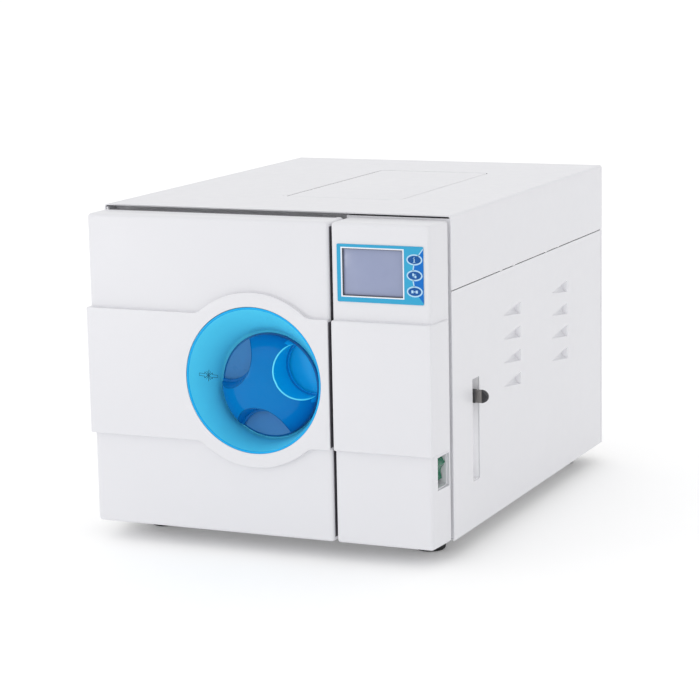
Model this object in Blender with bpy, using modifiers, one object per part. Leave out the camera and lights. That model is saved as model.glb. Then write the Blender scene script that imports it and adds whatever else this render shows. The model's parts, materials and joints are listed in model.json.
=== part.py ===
"""Benchtop steam autoclave with a hinged front door, as separate named pieces.

Everything below is worked out in a design frame in millimetres: +X to the right of someone who
faces the front, +Y from the front to the rear with 0 on the door's front face, +Z up from the
bench. design() moves it to the object's frame: metres, origin under the middle of the whole.
"""

import math

import bmesh
import bpy
from mathutils import Matrix, Vector

MM = 0.001
GAP = 0.3  # standing gap between neighbouring pieces
SLIP = 0.35  # running gap around a pin or shaft

# Case
CASE_W = 480.0
CASE_DEPTH = 596.0
CASE_H = 407.0
FOOT_H = 25.0
FOOT_R = 22.0
FOOT_IN_X = 50.0
FOOT_IN_Y = 44.0
SHEET = 1.5
COVER_SIDE_H = 92.0
COVER_BEND = 4.0
SEAM = 1.2
LIP_H = 3.5
REAR_INSET = 3.0
PORT_REACH = 18.0

# Door and control column, which share their height and the raised band
FRONT_INSET = 5.5
FRONT_TOP_GAP = 5.4
DOOR_DEPTH = 52.0
DOOR_RIGHT = 101.0
COLUMN_GAP = 4.0
COLUMN_PROUD = 2.0
COLUMN_DRAFT = 3.6
CASE_CLEAR = 4.0
SHELL = 3.0
EDGE = 4.5
BAND_RAISE = 6.0
BAND_WRAP = 2.5
BAND_LOW = 143.0
BAND_H = 163.5
BULGE_RIM = 18.0
BULGE_FILLET = 20.0

# Dish and knob
DISH_X = -3.0
DISH_Z = 224.7
DISH_R = 93.0
DISH_CLEAR = 2.7
DISH_WALL = 2.5
KNOB_DROP = 15.0
KNOB_R = 67.0
KNOB_RING = 2.2
KNOB_BASE_T = 4.0
GRIP_H = 33.0
GRIP_R = 65.5
SCALLOP_OUT = 69.0
SCALLOP_R = 37.0
SCALLOP_FLARE = 9.0
SCALLOP_FIRST = 145.0
SPINDLE_R = 8.0

# Latch
PINION_TEETH = 12
PINION_R = 9.0
PINION_T = 7.0
BOLT_T = 8.0
BOLT_H = 9.5
BOLT_IN = 24.0
BOLT_TURN = math.pi / 2
STRIKER_W = 12.0
STRIKER_GAP = 5.0
STRIKER_H = 28.0

# Hinge
HINGE_IN = 12.0
HINGE_BACK = 20.0
PIN_R = 4.0
BARREL_R = 7.5
BRACKET_H = 24.0
BRACKET_AWAY = 100.0
BRIDGE_H = 60.0
BRIDGE_T = 6.0
BRIDGE_CLEAR = 2.0
GUIDE_L = 16.0

# Pan on the back of the door, pressure plate and seal
PAN_INSET = 8.0
PAN_DEPTH = 20.2
FRAME_CLEAR = 4.0
FRAME_T = 3.0
MOUTH_CLEAR = 8.0
PLATE_CLEAR = 2.5
PLATE_T = 10.0
PLATE_RIM = 5.0
HUB_R = 14.0
SEAL_T = 4.0
SEAL_W = 11.0
SEAL_OFF = 1.5
PLATE_TRAVEL = 3.0

# Chamber
CHAMBER_R = 122.5
CHAMBER_WALL = 2.5
CHAMBER_L = 350.0
CHAMBER_DOME = 32.0
FLANGE_W = 19.5
FLANGE_T = 8.0
BAND_T = 3.6
BAND_START = 80.0
BAND_L = 150.0
LAGGING_T = 14.0

# Trays
TRAY_CLEAR = 18.5
TRAY_L = 290.0
TRAY_H = 18.0
TRAY_SHEET = 1.5
TRAY_START = 22.0
TRAY_LEVELS = (-52.0, 8.0)
RAIL_T = 2.0
RAIL_UNDER = 8.0
RACK_START = 14.0
RACK_L = 294.0
POST_W = 6.0
POST_T = 3.0

# Water tank under the top cover
TANK_X = 37.0
TANK_START = 133.5
TANK_W = 164.0
TANK_L = 325.0
TANK_H = 74.0
TANK_WALL = 2.0
LID_CORNER = 8.0
LID_GAP = 1.0

# Display panel on the control column
PANEL_IN = 8.0
PANEL_DROP = 25.6
PANEL_H = 71.0
PANEL_T = 0.8
SCREEN_IN = 7.0
SCREEN_DROP = 5.2
SCREEN_H = 58.3
SCREEN_KEY_GAP = 15.3
KEY_IN = 11.5
KEY_W = 17.0
KEY_H = 10.0
KEY_DROPS = (16.0, 35.2, 54.8)

# Power switch in the column's side
SWITCH_Y = 31.0
SWITCH_Z = 119.0
SWITCH_W = 33.0
SWITCH_H = 42.0
SWITCH_DEPTH = 20.0
ROCKER_TILT = 12.0
ROCKER_NOSE = 7.0

# Recess with the data socket in the right side panel
SLOT_BACK = 80.0
SLOT_Z = 151.0
SLOT_W = 24.0
SLOT_H = 132.0
SLOT_DEPTH = 16.0
STICK_Z = 193.5
STICK_W = 17.0
STICK_T = 8.0
STICK_OUT = 17.0

# Pressed vents in the side panels
VENT_STARTS = (184.0, 376.0)
VENT_L = 64.0
VENT_LOW = 186.0
VENT_PITCH = 31.3
VENT_ROWS = 4
VENT_R = 8.0

# Rear
FAN_IN = 110.0
FAN_DROP = 132.0
FAN_R = 58.0
INLET_IN = 79.0
INLET_UP = 39.0
PORTS_IN = (90.0, 50.0)
PORT_UP = 35.0
PORT_R = 5.5
FUSES_IN = (128.0, 152.0)
FUSE_UP = 39.0
FUSE_R = 6.5

# Working units inside the case
BASE_T = 2.0
PUMP_W = 72.0
PUMP_L = 120.0
PUMP_H = 72.0
PUMP_START = 274.0
MOTOR_R = 30.0
MOTOR_L = 70.0
BOILER_R = 38.0
BOILER_H = 150.0
BOILER_START = 194.0
SUPPLY_W = 100.0
SUPPLY_L = 95.0
SUPPLY_H = 66.0
SIDE_CLEAR = 12.0
VALVES_W = 78.0
VALVES_L = 36.0
VALVES_H = 32.0
COIL_R = 9.5
FILTER_R = 20.0
FILTER_H = 45.0
COOLER_W = 160.0
COOLER_H = 100.0
COOLER_L = 50.0
FINS = 12

# Derived places
HALF_W = CASE_W / 2
CASE_FRONT = DOOR_DEPTH + CASE_CLEAR
COLUMN_DEPTH = DOOR_DEPTH + COLUMN_PROUD
CASE_REAR = CASE_FRONT + CASE_DEPTH
CASE_TOP = FOOT_H + CASE_H
SEAM_Z = CASE_TOP - COVER_SIDE_H
FRONT_TOP = CASE_TOP - FRONT_TOP_GAP
DOOR_LEFT = -HALF_W + FRONT_INSET
COLUMN_L = DOOR_RIGHT + COLUMN_GAP
COLUMN_R = HALF_W - FRONT_INSET
BAND_TOP = BAND_LOW + BAND_H
BULGE_R = DISH_R + BULGE_RIM
DISH_FLOOR = DOOR_DEPTH - DISH_CLEAR
DISH_TAPER = (DISH_R - DISH_WALL - KNOB_R - KNOB_RING) / (DISH_FLOOR + BAND_RAISE)
LINER_FRONT = -BAND_RAISE + 0.2
KNOB_Z = DISH_Z - KNOB_DROP
BASE_FACE = DISH_FLOOR - GAP - KNOB_BASE_T
GRIP_BACK = BASE_FACE - GAP
PIVOT = (DOOR_LEFT + HINGE_IN, HINGE_BACK)
BRIDGE_BACK = DOOR_DEPTH + BRIDGE_CLEAR
BOLT_FACE = BRIDGE_BACK + BRIDGE_T + 1.0
BOLT_END = DOOR_RIGHT - BOLT_IN
TOOTH = 2 * math.pi * PINION_R / PINION_TEETH
PAN_FRONT = DOOR_DEPTH + GAP
PAN_BACK = PAN_FRONT + PAN_DEPTH
FRAME_BACK = PAN_BACK + FRAME_CLEAR
PLATE_BACK = PAN_BACK + PLATE_CLEAR
SEAL_BACK = PLATE_BACK + PLATE_T + SEAL_T
FLANGE_FACE = SEAL_BACK + PLATE_TRAVEL + GAP
CHAMBER_BACK = FLANGE_FACE + CHAMBER_L
CHAMBER_X = (DOOR_LEFT + DOOR_RIGHT) / 2
FLANGE_R = CHAMBER_R + FLANGE_W
PLATE_R = FLANGE_R - PLATE_RIM
SEAL_IN = CHAMBER_R + SEAL_OFF
MOUTH_R = FLANGE_R + MOUTH_CLEAR
TRAY_W = 2 * math.sqrt((CHAMBER_R - TRAY_CLEAR) ** 2 - TRAY_LEVELS[0] ** 2)
TANK_Y = CASE_FRONT + TANK_START + TANK_L / 2
PANEL_L = COLUMN_L + PANEL_IN
PANEL_R = COLUMN_R - PANEL_IN
PANEL_TOP = FRONT_TOP - PANEL_DROP
PANEL_LOW = PANEL_TOP - PANEL_H
KEY_X = PANEL_R - KEY_IN
SCREEN_L = PANEL_L + SCREEN_IN
SCREEN_R = KEY_X - SCREEN_KEY_GAP
SCREEN_TOP = PANEL_TOP - SCREEN_DROP
SCREEN_LOW = SCREEN_TOP - SCREEN_H
SLOT_Y = CASE_FRONT + SLOT_BACK
REAR_FACE = CASE_REAR - REAR_INSET
FAN_X = HALF_W - FAN_IN
FAN_Z = CASE_TOP - FAN_DROP
INLET_X = -HALF_W + INLET_IN
INLET_Z = FOOT_H + INLET_UP
PORT_Z = FOOT_H + PORT_UP
FUSE_Z = FOOT_H + FUSE_UP
UNIT_FLOOR = FOOT_H + BASE_T + 2 * GAP
LAST_X = HALF_W + STICK_OUT
SHIFT_X = (HALF_W - LAST_X) / 2
SHIFT_Y = (BAND_RAISE - (REAR_FACE + PORT_REACH)) / 2

for old in list(bpy.data.objects):
    bpy.data.objects.remove(old, do_unlink=True)

parts = bpy.data.collections.new("benchtop_autoclave")
cutters = bpy.data.collections.new("cutters")
bpy.context.scene.collection.children.link(parts)
bpy.context.scene.collection.children.link(cutters)
cutters.hide_render = True


def design(x, y, z):
    """A point of the design frame in world metres."""
    return Vector((x + SHIFT_X, y + SHIFT_Y, z)) * MM


def material(name, colour, roughness, metallic=0.0, alpha=1.0):
    made = bpy.data.materials.new(name)
    made.use_nodes = True
    shader = made.node_tree.nodes["Principled BSDF"]
    shader.inputs["Base Color"].default_value = (*colour, 1.0)
    shader.inputs["Roughness"].default_value = roughness
    shader.inputs["Metallic"].default_value = metallic
    shader.inputs["Alpha"].default_value = alpha
    made.diffuse_color = (*colour, 1.0)
    return made


WHITE_PAINT = ((0.86, 0.86, 0.88), 0.42)
WHITE_PLASTIC = ((0.87, 0.87, 0.89), 0.35)
STEEL = ((0.62, 0.62, 0.63), 0.3, 1.0)
ALUMINIUM = ((0.72, 0.73, 0.74), 0.4, 1.0)
BRASS = ((0.78, 0.6, 0.28), 0.3, 1.0)
BLACK = ((0.03, 0.03, 0.035), 0.5)
RUBBER = ((0.02, 0.02, 0.02), 0.85)
LIGHT_BLUE = ((0.1, 0.46, 0.78), 0.3)
DEEP_BLUE = ((0.0, 0.13, 0.5), 0.15)
OVERLAY_BLUE = ((0.05, 0.3, 0.7), 0.3)
SCREEN = ((0.36, 0.38, 0.6), 0.2)
NAVY = ((0.02, 0.05, 0.25), 0.3)
GREEN = ((0.0, 0.3, 0.16), 0.2)
BOARD = ((0.02, 0.2, 0.08), 0.5)
SILICONE = ((0.75, 0.2, 0.12), 0.6)
WOOL = ((0.8, 0.77, 0.68), 0.95)
TANK = ((0.8, 0.85, 0.9), 0.3)


def add(name, bm, finish=None, origin=(0.0, 0.0, 0.0)):
    """An object from a bmesh drawn in design millimetres; with no finish it is a cutter or helper."""
    bm.transform(Matrix.Scale(MM, 4) @ Matrix.Translation(-Vector(origin)))
    mesh = bpy.data.meshes.new(name)
    bm.to_mesh(mesh)
    bm.free()
    return place(name, mesh, finish, origin)


def place(name, mesh, finish, origin):
    obj = bpy.data.objects.new(name, mesh)
    obj.location = design(*origin)
    if finish is None:
        obj.hide_render = True
        obj.display_type = "WIRE"
        cutters.objects.link(obj)
    else:
        mesh.materials.append(material(name, *finish))
        parts.objects.link(obj)
    return obj


def box_mesh(low, high):
    low, high = Vector(low), Vector(high)
    bm = bmesh.new()
    bmesh.ops.create_cube(bm, size=1.0)
    bm.transform(Matrix.Translation((low + high) / 2) @ Matrix.Diagonal((*(high - low), 1.0)))
    return bm


def box(name, low, high, finish=None, origin=(0.0, 0.0, 0.0)):
    return add(name, box_mesh(low, high), finish, origin)


def rod_mesh(start, end, radius, end_radius=None, segments=24):
    start, end = Vector(start), Vector(end)
    bm = bmesh.new()
    bmesh.ops.create_cone(
        bm,
        cap_ends=True,
        segments=segments,
        radius1=radius,
        radius2=radius if end_radius is None else end_radius,
        depth=(end - start).length,
    )
    turn = Vector((0, 0, 1)).rotation_difference(end - start).to_matrix().to_4x4()
    bm.transform(Matrix.Translation((start + end) / 2) @ turn)
    return bm


def rod(name, start, end, radius, finish=None, end_radius=None, segments=24, origin=(0, 0, 0)):
    bm = rod_mesh(start, end, radius, end_radius, segments)
    obj = add(name, bm, finish, origin)
    obj.data.shade_smooth()
    obj.data.set_sharp_from_angle(angle=math.radians(40))
    return obj


PLANES = {
    "X": Matrix(((0, 0, 1, 0), (1, 0, 0, 0), (0, 1, 0, 0), (0, 0, 0, 1))),
    "Y": Matrix(((1, 0, 0, 0), (0, 0, -1, 0), (0, 1, 0, 0), (0, 0, 0, 1))),
    "Z": Matrix.Identity(4),
}


def plate_mesh(points, across, near, far):
    """A filled outline with a thickness: (y, z) points across X, (x, z) across Y, (x, y) across Z."""
    curve = bpy.data.curves.new("outline", "CURVE")
    curve.dimensions = "2D"
    curve.fill_mode = "BOTH"
    curve.extrude = (far - near) / 2
    spline = curve.splines.new("POLY")
    spline.points.add(len(points) - 1)
    for point, (u, v) in zip(spline.points, points):
        point.co = (u, v, 0.0, 1.0)
    spline.use_cyclic_u = True
    helper = bpy.data.objects.new("outline", curve)
    cutters.objects.link(helper)
    bpy.context.view_layer.update()
    graph = bpy.context.evaluated_depsgraph_get()
    mesh = bpy.data.meshes.new_from_object(helper.evaluated_get(graph))
    bm = bmesh.new()
    bm.from_mesh(mesh)
    bpy.data.objects.remove(helper, do_unlink=True)
    bpy.data.curves.remove(curve)
    bpy.data.meshes.remove(mesh)
    bmesh.ops.remove_doubles(bm, verts=bm.verts, dist=0.001)
    middle = {"X": (1, 0, 0), "Y": (0, 1, 0), "Z": (0, 0, 1)}[across]
    bm.transform(Matrix.Translation(Vector(middle) * (near + far) / 2) @ PLANES[across])
    bmesh.ops.recalc_face_normals(bm, faces=bm.faces)
    return bm


def plate(name, points, across, near, far, finish=None, origin=(0.0, 0.0, 0.0)):
    return add(name, plate_mesh(points, across, near, far), finish, origin)


def rounded(corners, steps=4):
    """A closed outline whose (u, v, radius) corners are turned into arcs."""
    points = []
    for i, (u, v, radius) in enumerate(corners):
        here = Vector((u, v))
        if radius <= 0:
            points.append((u, v))
            continue
        before = (Vector(corners[i - 1][:2]) - here).normalized()
        after = (Vector(corners[(i + 1) % len(corners)][:2]) - here).normalized()
        half = before.angle(after) / 2
        centre = here + (before + after).normalized() * radius / math.sin(half)
        start = here + before * radius / math.tan(half) - centre
        end = here + after * radius / math.tan(half) - centre
        first = math.atan2(start.y, start.x)
        sweep = math.remainder(math.atan2(end.y, end.x) - first, 2 * math.pi)
        for k in range(steps + 1):
            angle = first + sweep * k / steps
            points.append((centre.x + radius * math.cos(angle), centre.y + radius * math.sin(angle)))
    return points


def rect(u0, v0, u1, v1, radius=0.0, steps=4):
    return rounded([(u0, v0, radius), (u1, v0, radius), (u1, v1, radius), (u0, v1, radius)], steps)


def arc(u, v, radius, first, last, steps):
    """Points along a circle about (u, v), angles in degrees."""
    angles = [math.radians(first + (last - first) * k / steps) for k in range(steps + 1)]
    return [(u + radius * math.cos(a), v + radius * math.sin(a)) for a in angles]


def turned(name, profile, centre, axis, finish=None, steps=40, closed=False):
    """A profile of (radius, distance along the axis) pairs spun round; it runs down the outer side."""
    mesh = bpy.data.meshes.new(name)
    edges = [(i, i + 1) for i in range(len(profile) - 1)]
    if closed:
        edges.append((len(profile) - 1, 0))
    mesh.from_pydata([(r * MM, 0.0, h * MM) for r, h in profile], edges, [])
    obj = place(name, mesh, finish, centre)
    if axis == "Y":
        obj.rotation_euler = (-math.pi / 2, 0.0, 0.0)
    spin = obj.modifiers.new("Turn", "SCREW")
    spin.steps = steps
    spin.render_steps = steps
    spin.use_merge_vertices = True
    spin.merge_threshold = 0.00001
    spin.use_smooth_shade = True
    return obj


def ring(name, inner, outer, near, far, centre, axis, finish=None, steps=40):
    profile = [(outer, far), (outer, near), (inner, near), (inner, far)]
    return turned(name, profile, centre, axis, finish, steps, closed=True)


def boolean(obj, other, operation):
    made = obj.modifiers.new(operation.title(), "BOOLEAN")
    made.operation = operation
    made.solver = "EXACT"
    made.object = other
    return obj


def cut(obj, *others):
    for other in others:
        boolean(obj, other, "DIFFERENCE")
    return obj


def join(obj, *others):
    for other in others:
        boolean(obj, other, "UNION")
    return obj


def soften(obj, width, segments=2):
    """Rounded edges, for every edge sharper than 40 degrees."""
    made = obj.modifiers.new("Soften", "BEVEL")
    made.width = width * MM
    made.segments = segments
    made.limit_method = "ANGLE"
    made.angle_limit = math.radians(40)
    return obj


def merged(name, meshes):
    """Several cutter shapes that stay clear of each other, as one cutter."""
    whole = bmesh.new()
    for bm in meshes:
        mesh = bpy.data.meshes.new("piece")
        bm.to_mesh(mesh)
        bm.free()
        whole.from_mesh(mesh)
        bpy.data.meshes.remove(mesh)
    return add(name, whole)


# ---------------------------------------------------------------------------------------- case


def top_cover():
    """A folded sheet over the top and the upper sides, with a stiff lip and the tank's opening."""
    outer = [(-HALF_W, SEAM_Z, 0), (-HALF_W, CASE_TOP, COVER_BEND)]
    outer += [(HALF_W, CASE_TOP, COVER_BEND), (HALF_W, SEAM_Z, 0)]
    bend = COVER_BEND - SHEET
    low, inner = CASE_TOP - SHEET, HALF_W - SHEET
    outer += [(inner, SEAM_Z, 0), (inner, low, bend), (-inner, low, bend), (-inner, SEAM_Z, 0)]
    cover = plate("top_cover", rounded(outer), "Y", CASE_FRONT, CASE_REAR, WHITE_PAINT)
    reach = HALF_W - COVER_BEND
    lip_low = (-reach, CASE_FRONT, CASE_TOP - LIP_H)
    join(cover, box("cover_lip", lip_low, (reach, CASE_FRONT + SHEET, low + 0.5)))
    half_w, half_l = TANK_W / 2, TANK_L / 2
    hole = rect(TANK_X - half_w, TANK_Y - half_l, TANK_X + half_w, TANK_Y + half_l, LID_CORNER)
    return cut(cover, plate("cover_opening", hole, "Z", low - 5, CASE_TOP + 5))


def vent_cones(side, extra):
    """Half-cone scoops pressed inwards, deepest at their rear end."""
    scoops = []
    for column in VENT_STARTS:
        start = CASE_FRONT + column
        for row in range(VENT_ROWS):
            z = VENT_LOW + row * VENT_PITCH
            x = side * HALF_W
            first = (x, start - extra, z)
            last = (x, start + VENT_L + extra, z)
            scoops.append(rod_mesh(first, last, 1.0 + extra, VENT_R + extra, 12))
    return scoops


def side_panel(name, side):
    face = side * HALF_W
    back = face - side * SHEET
    outline = rect(CASE_FRONT, FOOT_H, CASE_REAR, SEAM_Z - SEAM)
    panel = plate(name, outline, "X", min(face, back), max(face, back), WHITE_PAINT)
    join(panel, merged(name + "_vent_backs", vent_cones(side, SHEET)))
    cut(panel, merged(name + "_vent_hollows", vent_cones(side, 0.0)))
    outside = (face, CASE_FRONT - 5, 0.0), (face + side * 20, CASE_REAR + 5, CASE_TOP)
    low = [min(pair) for pair in zip(*outside)]
    high = [max(pair) for pair in zip(*outside)]
    return cut(panel, box(name + "_trim", low, high))


def slot_box(name, grow, near, far):
    low = (near, SLOT_Y - SLOT_W / 2 - grow, SLOT_Z - SLOT_H / 2 - grow)
    return box(name, low, (far, SLOT_Y + SLOT_W / 2 + grow, SLOT_Z + SLOT_H / 2 + grow))


def case_panels():
    top_cover()
    side_panel("side_panel_left", -1)
    cut(side_panel("side_panel_right", 1), slot_box("slot_cut", 0.0, HALF_W - 5, HALF_W + 5))
    inner = HALF_W - SHEET - GAP
    low, high = FOOT_H + GAP, FOOT_H + GAP + BASE_T
    box("base_plate", (-inner, CASE_FRONT + 1, low), (inner, REAR_FACE, high), STEEL)
    top = CASE_TOP - SHEET - GAP
    outline = [(-inner, high + GAP, 0), (inner, high + GAP, 0)]
    outline += [(inner, top, COVER_BEND), (-inner, top, COVER_BEND)]
    back = plate("rear_panel", rounded(outline), "Y", REAR_FACE - SHEET, REAR_FACE, WHITE_PAINT)
    near, far = REAR_FACE - 5, REAR_FACE + 5
    cut(back, merged("fan_slots", [box_mesh(*bar) for bar in fan_slots(near, far)]))
    low, high = inlet_corners(near, far, GAP)
    cut(back, box("inlet_cut", low, high))
    holes = [(HALF_W - x, PORT_Z, PORT_R + 2.5) for x in PORTS_IN]
    holes += [(-HALF_W + x, FUSE_Z, FUSE_R + 0.5) for x in FUSES_IN]
    for k, (x, z, radius) in enumerate(holes):
        cut(back, rod(f"rear_hole_{k}", (x, near, z), (x, far, z), radius, segments=20))


def fan_slots(near, far):
    """Low and high corners of the level slots in front of the fan."""
    slots = []
    for k in range(-3, 4):
        rise = 15 * k
        half = math.sqrt(FAN_R**2 - rise**2) - 4
        z = FAN_Z + rise
        slots.append(((FAN_X - half, near, z - 4), (FAN_X + half, far, z + 4)))
    return slots


def inlet_corners(near, far, grow=0.0):
    half_w, half_h = 23.5 + grow, 13.5 + grow
    low = (INLET_X - half_w, near, INLET_Z - half_h)
    return low, (INLET_X + half_w, far, INLET_Z + half_h)


def front_frame():
    """The folded plate behind the door and the column, with the round mouth for the chamber."""
    side = HALF_W - SHEET - GAP
    low, high = UNIT_FLOOR, CASE_TOP - SHEET - GAP - 2
    wall = DOOR_RIGHT + 0.5
    near, step = CASE_FRONT + 1, FRAME_BACK + FRAME_T
    outline = [(-side, near), (-side + FRAME_T, near), (-side + FRAME_T, FRAME_BACK)]
    outline += [(wall, FRAME_BACK), (wall, near), (side, near), (side, near + FRAME_T)]
    outline += [(wall + FRAME_T, near + FRAME_T), (wall + FRAME_T, step), (-side, step)]
    frame = plate("front_frame", outline, "Z", low, high, WHITE_PAINT)
    start, end = (CHAMBER_X, FRAME_BACK - 3, KNOB_Z), (CHAMBER_X, step + 3, KNOB_Z)
    cut(frame, rod("frame_mouth", start, end, MOUTH_R, segments=48))


def feet():
    profile = [(0, -GAP), (FOOT_R - 2, -GAP), (FOOT_R, -3), (FOOT_R - 3, 2 - FOOT_H)]
    profile += [(FOOT_R - 5, -FOOT_H), (0, -FOOT_H)]
    for end, y in (("front", CASE_FRONT + FOOT_IN_Y), ("rear", CASE_REAR - FOOT_IN_Y)):
        for side, sign in (("left", -1), ("right", 1)):
            x = sign * (HALF_W - FOOT_IN_X)
            turned(f"foot_{end}_{side}", profile, (x, y, FOOT_H), "Z", RUBBER, 28)


# ------------------------------------------------------------------------------ control column


def drafted(left, front, right, back):
    """A plan outline whose right side leans outwards to the rear, as the moulding does."""
    lean = COLUMN_DRAFT / COLUMN_DEPTH
    return [(left, front), (right + front * lean, front), (right + back * lean, back), (left, back)]


def control_column():
    """A moulded shell, open at the back, with the band, the panel's openings and the switch hole."""
    outline = drafted(COLUMN_L, 0, COLUMN_R, COLUMN_DEPTH)
    column = plate("control_column", outline, "Z", FOOT_H, FRONT_TOP, WHITE_PLASTIC)
    soften(column, EDGE, 3)
    outline = drafted(COLUMN_L + GAP, -BAND_RAISE, COLUMN_R + BAND_WRAP, COLUMN_DEPTH - 8)
    join(column, soften(plate("column_band", outline, "Z", BAND_LOW, BAND_TOP), 2.2))
    low = (COLUMN_L + SHELL, SHELL, FOOT_H + SHELL)
    high = (COLUMN_R - SHELL, COLUMN_DEPTH + 5, FRONT_TOP - SHELL)
    cut(column, box("column_hollow", low, high))
    screen = (SCREEN_L, -5, SCREEN_LOW), (SCREEN_R, 8, SCREEN_TOP)
    cut(column, box("screen_cut", *screen))
    for k, z in enumerate(key_heights()):
        hole = key_outline(z, 2 * SLIP)
        cut(column, plate(f"key_cut_{k}", hole, "Y", -5, 8))
    low = (COLUMN_R - 8, SWITCH_Y - SWITCH_W / 2, SWITCH_Z - SWITCH_H / 2)
    high = (COLUMN_R + 8, SWITCH_Y + SWITCH_W / 2, SWITCH_Z + SWITCH_H / 2)
    cut(column, box("switch_cut", low, high))


def key_heights():
    return [PANEL_TOP - drop for drop in KEY_DROPS]


def key_outline(z, grow=0.0):
    half_w, half_h = KEY_W / 2 + grow, KEY_H / 2 + grow
    return rect(KEY_X - half_w, z - half_h, KEY_X + half_w, z + half_h, half_h - 0.3, 5)


def display():
    face = -GAP
    outline = rect(PANEL_L, PANEL_LOW, PANEL_R, PANEL_TOP, 2.0)
    panel = plate("display_overlay", outline, "Y", face - PANEL_T, face, OVERLAY_BLUE)
    low = (SCREEN_L, face - 3, SCREEN_LOW)
    cut(panel, box("overlay_window", low, (SCREEN_R, face + 3, SCREEN_TOP)))
    for k, z in enumerate(key_heights()):
        hole = key_outline(z, 2 * SLIP)
        cut(panel, plate(f"overlay_key_cut_{k}", hole, "Y", face - 3, face + 3))
        front, back = face - PANEL_T - 0.6, SHELL + 1
        middle = (KEY_X, front, z)
        plate(f"key_{k + 1}", key_outline(z), "Y", front, back, NAVY, middle)
    low = (SCREEN_L - 5, SHELL + GAP, SCREEN_LOW - 5)
    module = box("lcd_module", low, (SCREEN_R + 4, SHELL + 9, SCREEN_TOP + 5), SCREEN)
    low = (SCREEN_L + GAP, face - 0.4, SCREEN_LOW + GAP)
    high = (SCREEN_R - GAP, SHELL + 5, SCREEN_TOP - GAP)
    join(module, box("lcd_glass", low, high))
    low = (COLUMN_L + SHELL + 4, SHELL + 14, PANEL_LOW - 20)
    box("control_board", low, (COLUMN_R - SHELL - 4, SHELL + 16, PANEL_TOP + 8), BOARD)


def power_switch():
    """A white well in the column's side with a rocker that tips about a level axis."""
    inside = COLUMN_R - SWITCH_DEPTH
    half_w, half_h = SWITCH_W / 2 - GAP, SWITCH_H / 2 - GAP
    low = (inside, SWITCH_Y - half_w, SWITCH_Z - half_h)
    high = (COLUMN_R - 0.2, SWITCH_Y + half_w, SWITCH_Z + half_h)
    well = box("switch_well", low, high, WHITE_PLASTIC)
    wall = 1.6
    low = (inside + wall, SWITCH_Y - half_w + wall, SWITCH_Z - half_h + wall)
    high = (COLUMN_R + 5, SWITCH_Y + half_w - wall, SWITCH_Z + half_h - wall)
    cut(well, box("switch_hollow", low, high))
    reach, width = half_h - wall - 1.6, half_w - wall - 1.2
    face, back = 6.0, -3.0
    crest = reach - ROCKER_NOSE
    outline = rounded(
        [(-reach, back, 1.5), (0, back - 2.5, 3), (reach, back, 1.5), (reach, 0, 1)]
        + [(crest, face + 1, 1.2), (0, face - 3.4, 9), (-crest, face + 1, 1.2), (-reach, 0, 1)]
    )
    tilt = math.radians(ROCKER_TILT)
    axis_x = COLUMN_R - 10.0
    turn = Matrix.Rotation(tilt, 4, "Y")
    bm = plate_mesh([(v, u) for u, v in outline], "Y", -width, width)
    bm.transform(Matrix.Translation((axis_x, SWITCH_Y, SWITCH_Z)) @ turn)
    add("power_rocker", bm, GREEN, (axis_x, SWITCH_Y, SWITCH_Z))


# ------------------------------------------------------------------------------- data recess


def data_recess():
    side = HALF_W - SHEET - GAP
    floor = side - SLOT_DEPTH
    low = (floor - 1.5, SLOT_Y - SLOT_W / 2 - 1.5, SLOT_Z - SLOT_H / 2 - 1.5)
    high = (side, SLOT_Y + SLOT_W / 2 + 1.5, SLOT_Z + SLOT_H / 2 + 1.5)
    pocket = box("data_pocket", low, high, WHITE_PLASTIC)
    cut(pocket, slot_box("pocket_hollow", 0.0, floor, side + 5))
    half_t, half_w = STICK_T / 2 - 0.4, STICK_W / 2 - 1.0
    low = (floor - 14, SLOT_Y - half_t, STICK_Z - half_w)
    high = (floor + 4, SLOT_Y + half_t, STICK_Z + half_w)
    socket = box("data_socket", low, high, STEEL)
    hole_low = (floor - 5, low[1] - GAP, low[2] - GAP)
    cut(pocket, box("socket_hole", hole_low, (floor + 5, high[1] + GAP, high[2] + GAP)))
    plug_t, plug_w = half_t - 1.0, half_w - 1.4
    low = (floor - 11, SLOT_Y - plug_t, STICK_Z - plug_w)
    high = (floor + 10, SLOT_Y + plug_t, STICK_Z + plug_w)
    cut(socket, box("socket_hollow", low, high))
    head, tip = floor + 4 + GAP, LAST_X
    shoulder = HALF_W
    low = (head, SLOT_Y - STICK_T / 2, STICK_Z - STICK_W / 2)
    high = (shoulder + 9, SLOT_Y + STICK_T / 2, STICK_Z + STICK_W / 2)
    stick = box("data_stick", low, high, BLACK, (head, SLOT_Y, STICK_Z))
    slack = 0.4
    low = (floor - 9, SLOT_Y - plug_t + slack, STICK_Z - plug_w + slack)
    high = (head + 2, SLOT_Y + plug_t - slack, STICK_Z + plug_w - slack)
    join(stick, box("stick_plug", low, high))
    start = shoulder + 7
    half = STICK_W / 2
    bow = [(start + (tip - start) * u, STICK_Z + half * v) for u, v in arc(0, 0, 1, -85, 85, 12)]
    loop = [(start, STICK_Z - half)] + bow + [(start, STICK_Z + half)]
    join(stick, plate("stick_loop", loop, "Y", SLOT_Y - 2.5, SLOT_Y + 2.5))
    hole = [(start + 2.4, STICK_Z - 4.6), (tip - 2.6, STICK_Z), (start + 2.4, STICK_Z + 4.6)]
    cut(stick, plate("stick_hole", hole, "Y", SLOT_Y - 8, SLOT_Y + 8))


# ----------------------------------------------------------------------------------------- door


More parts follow.
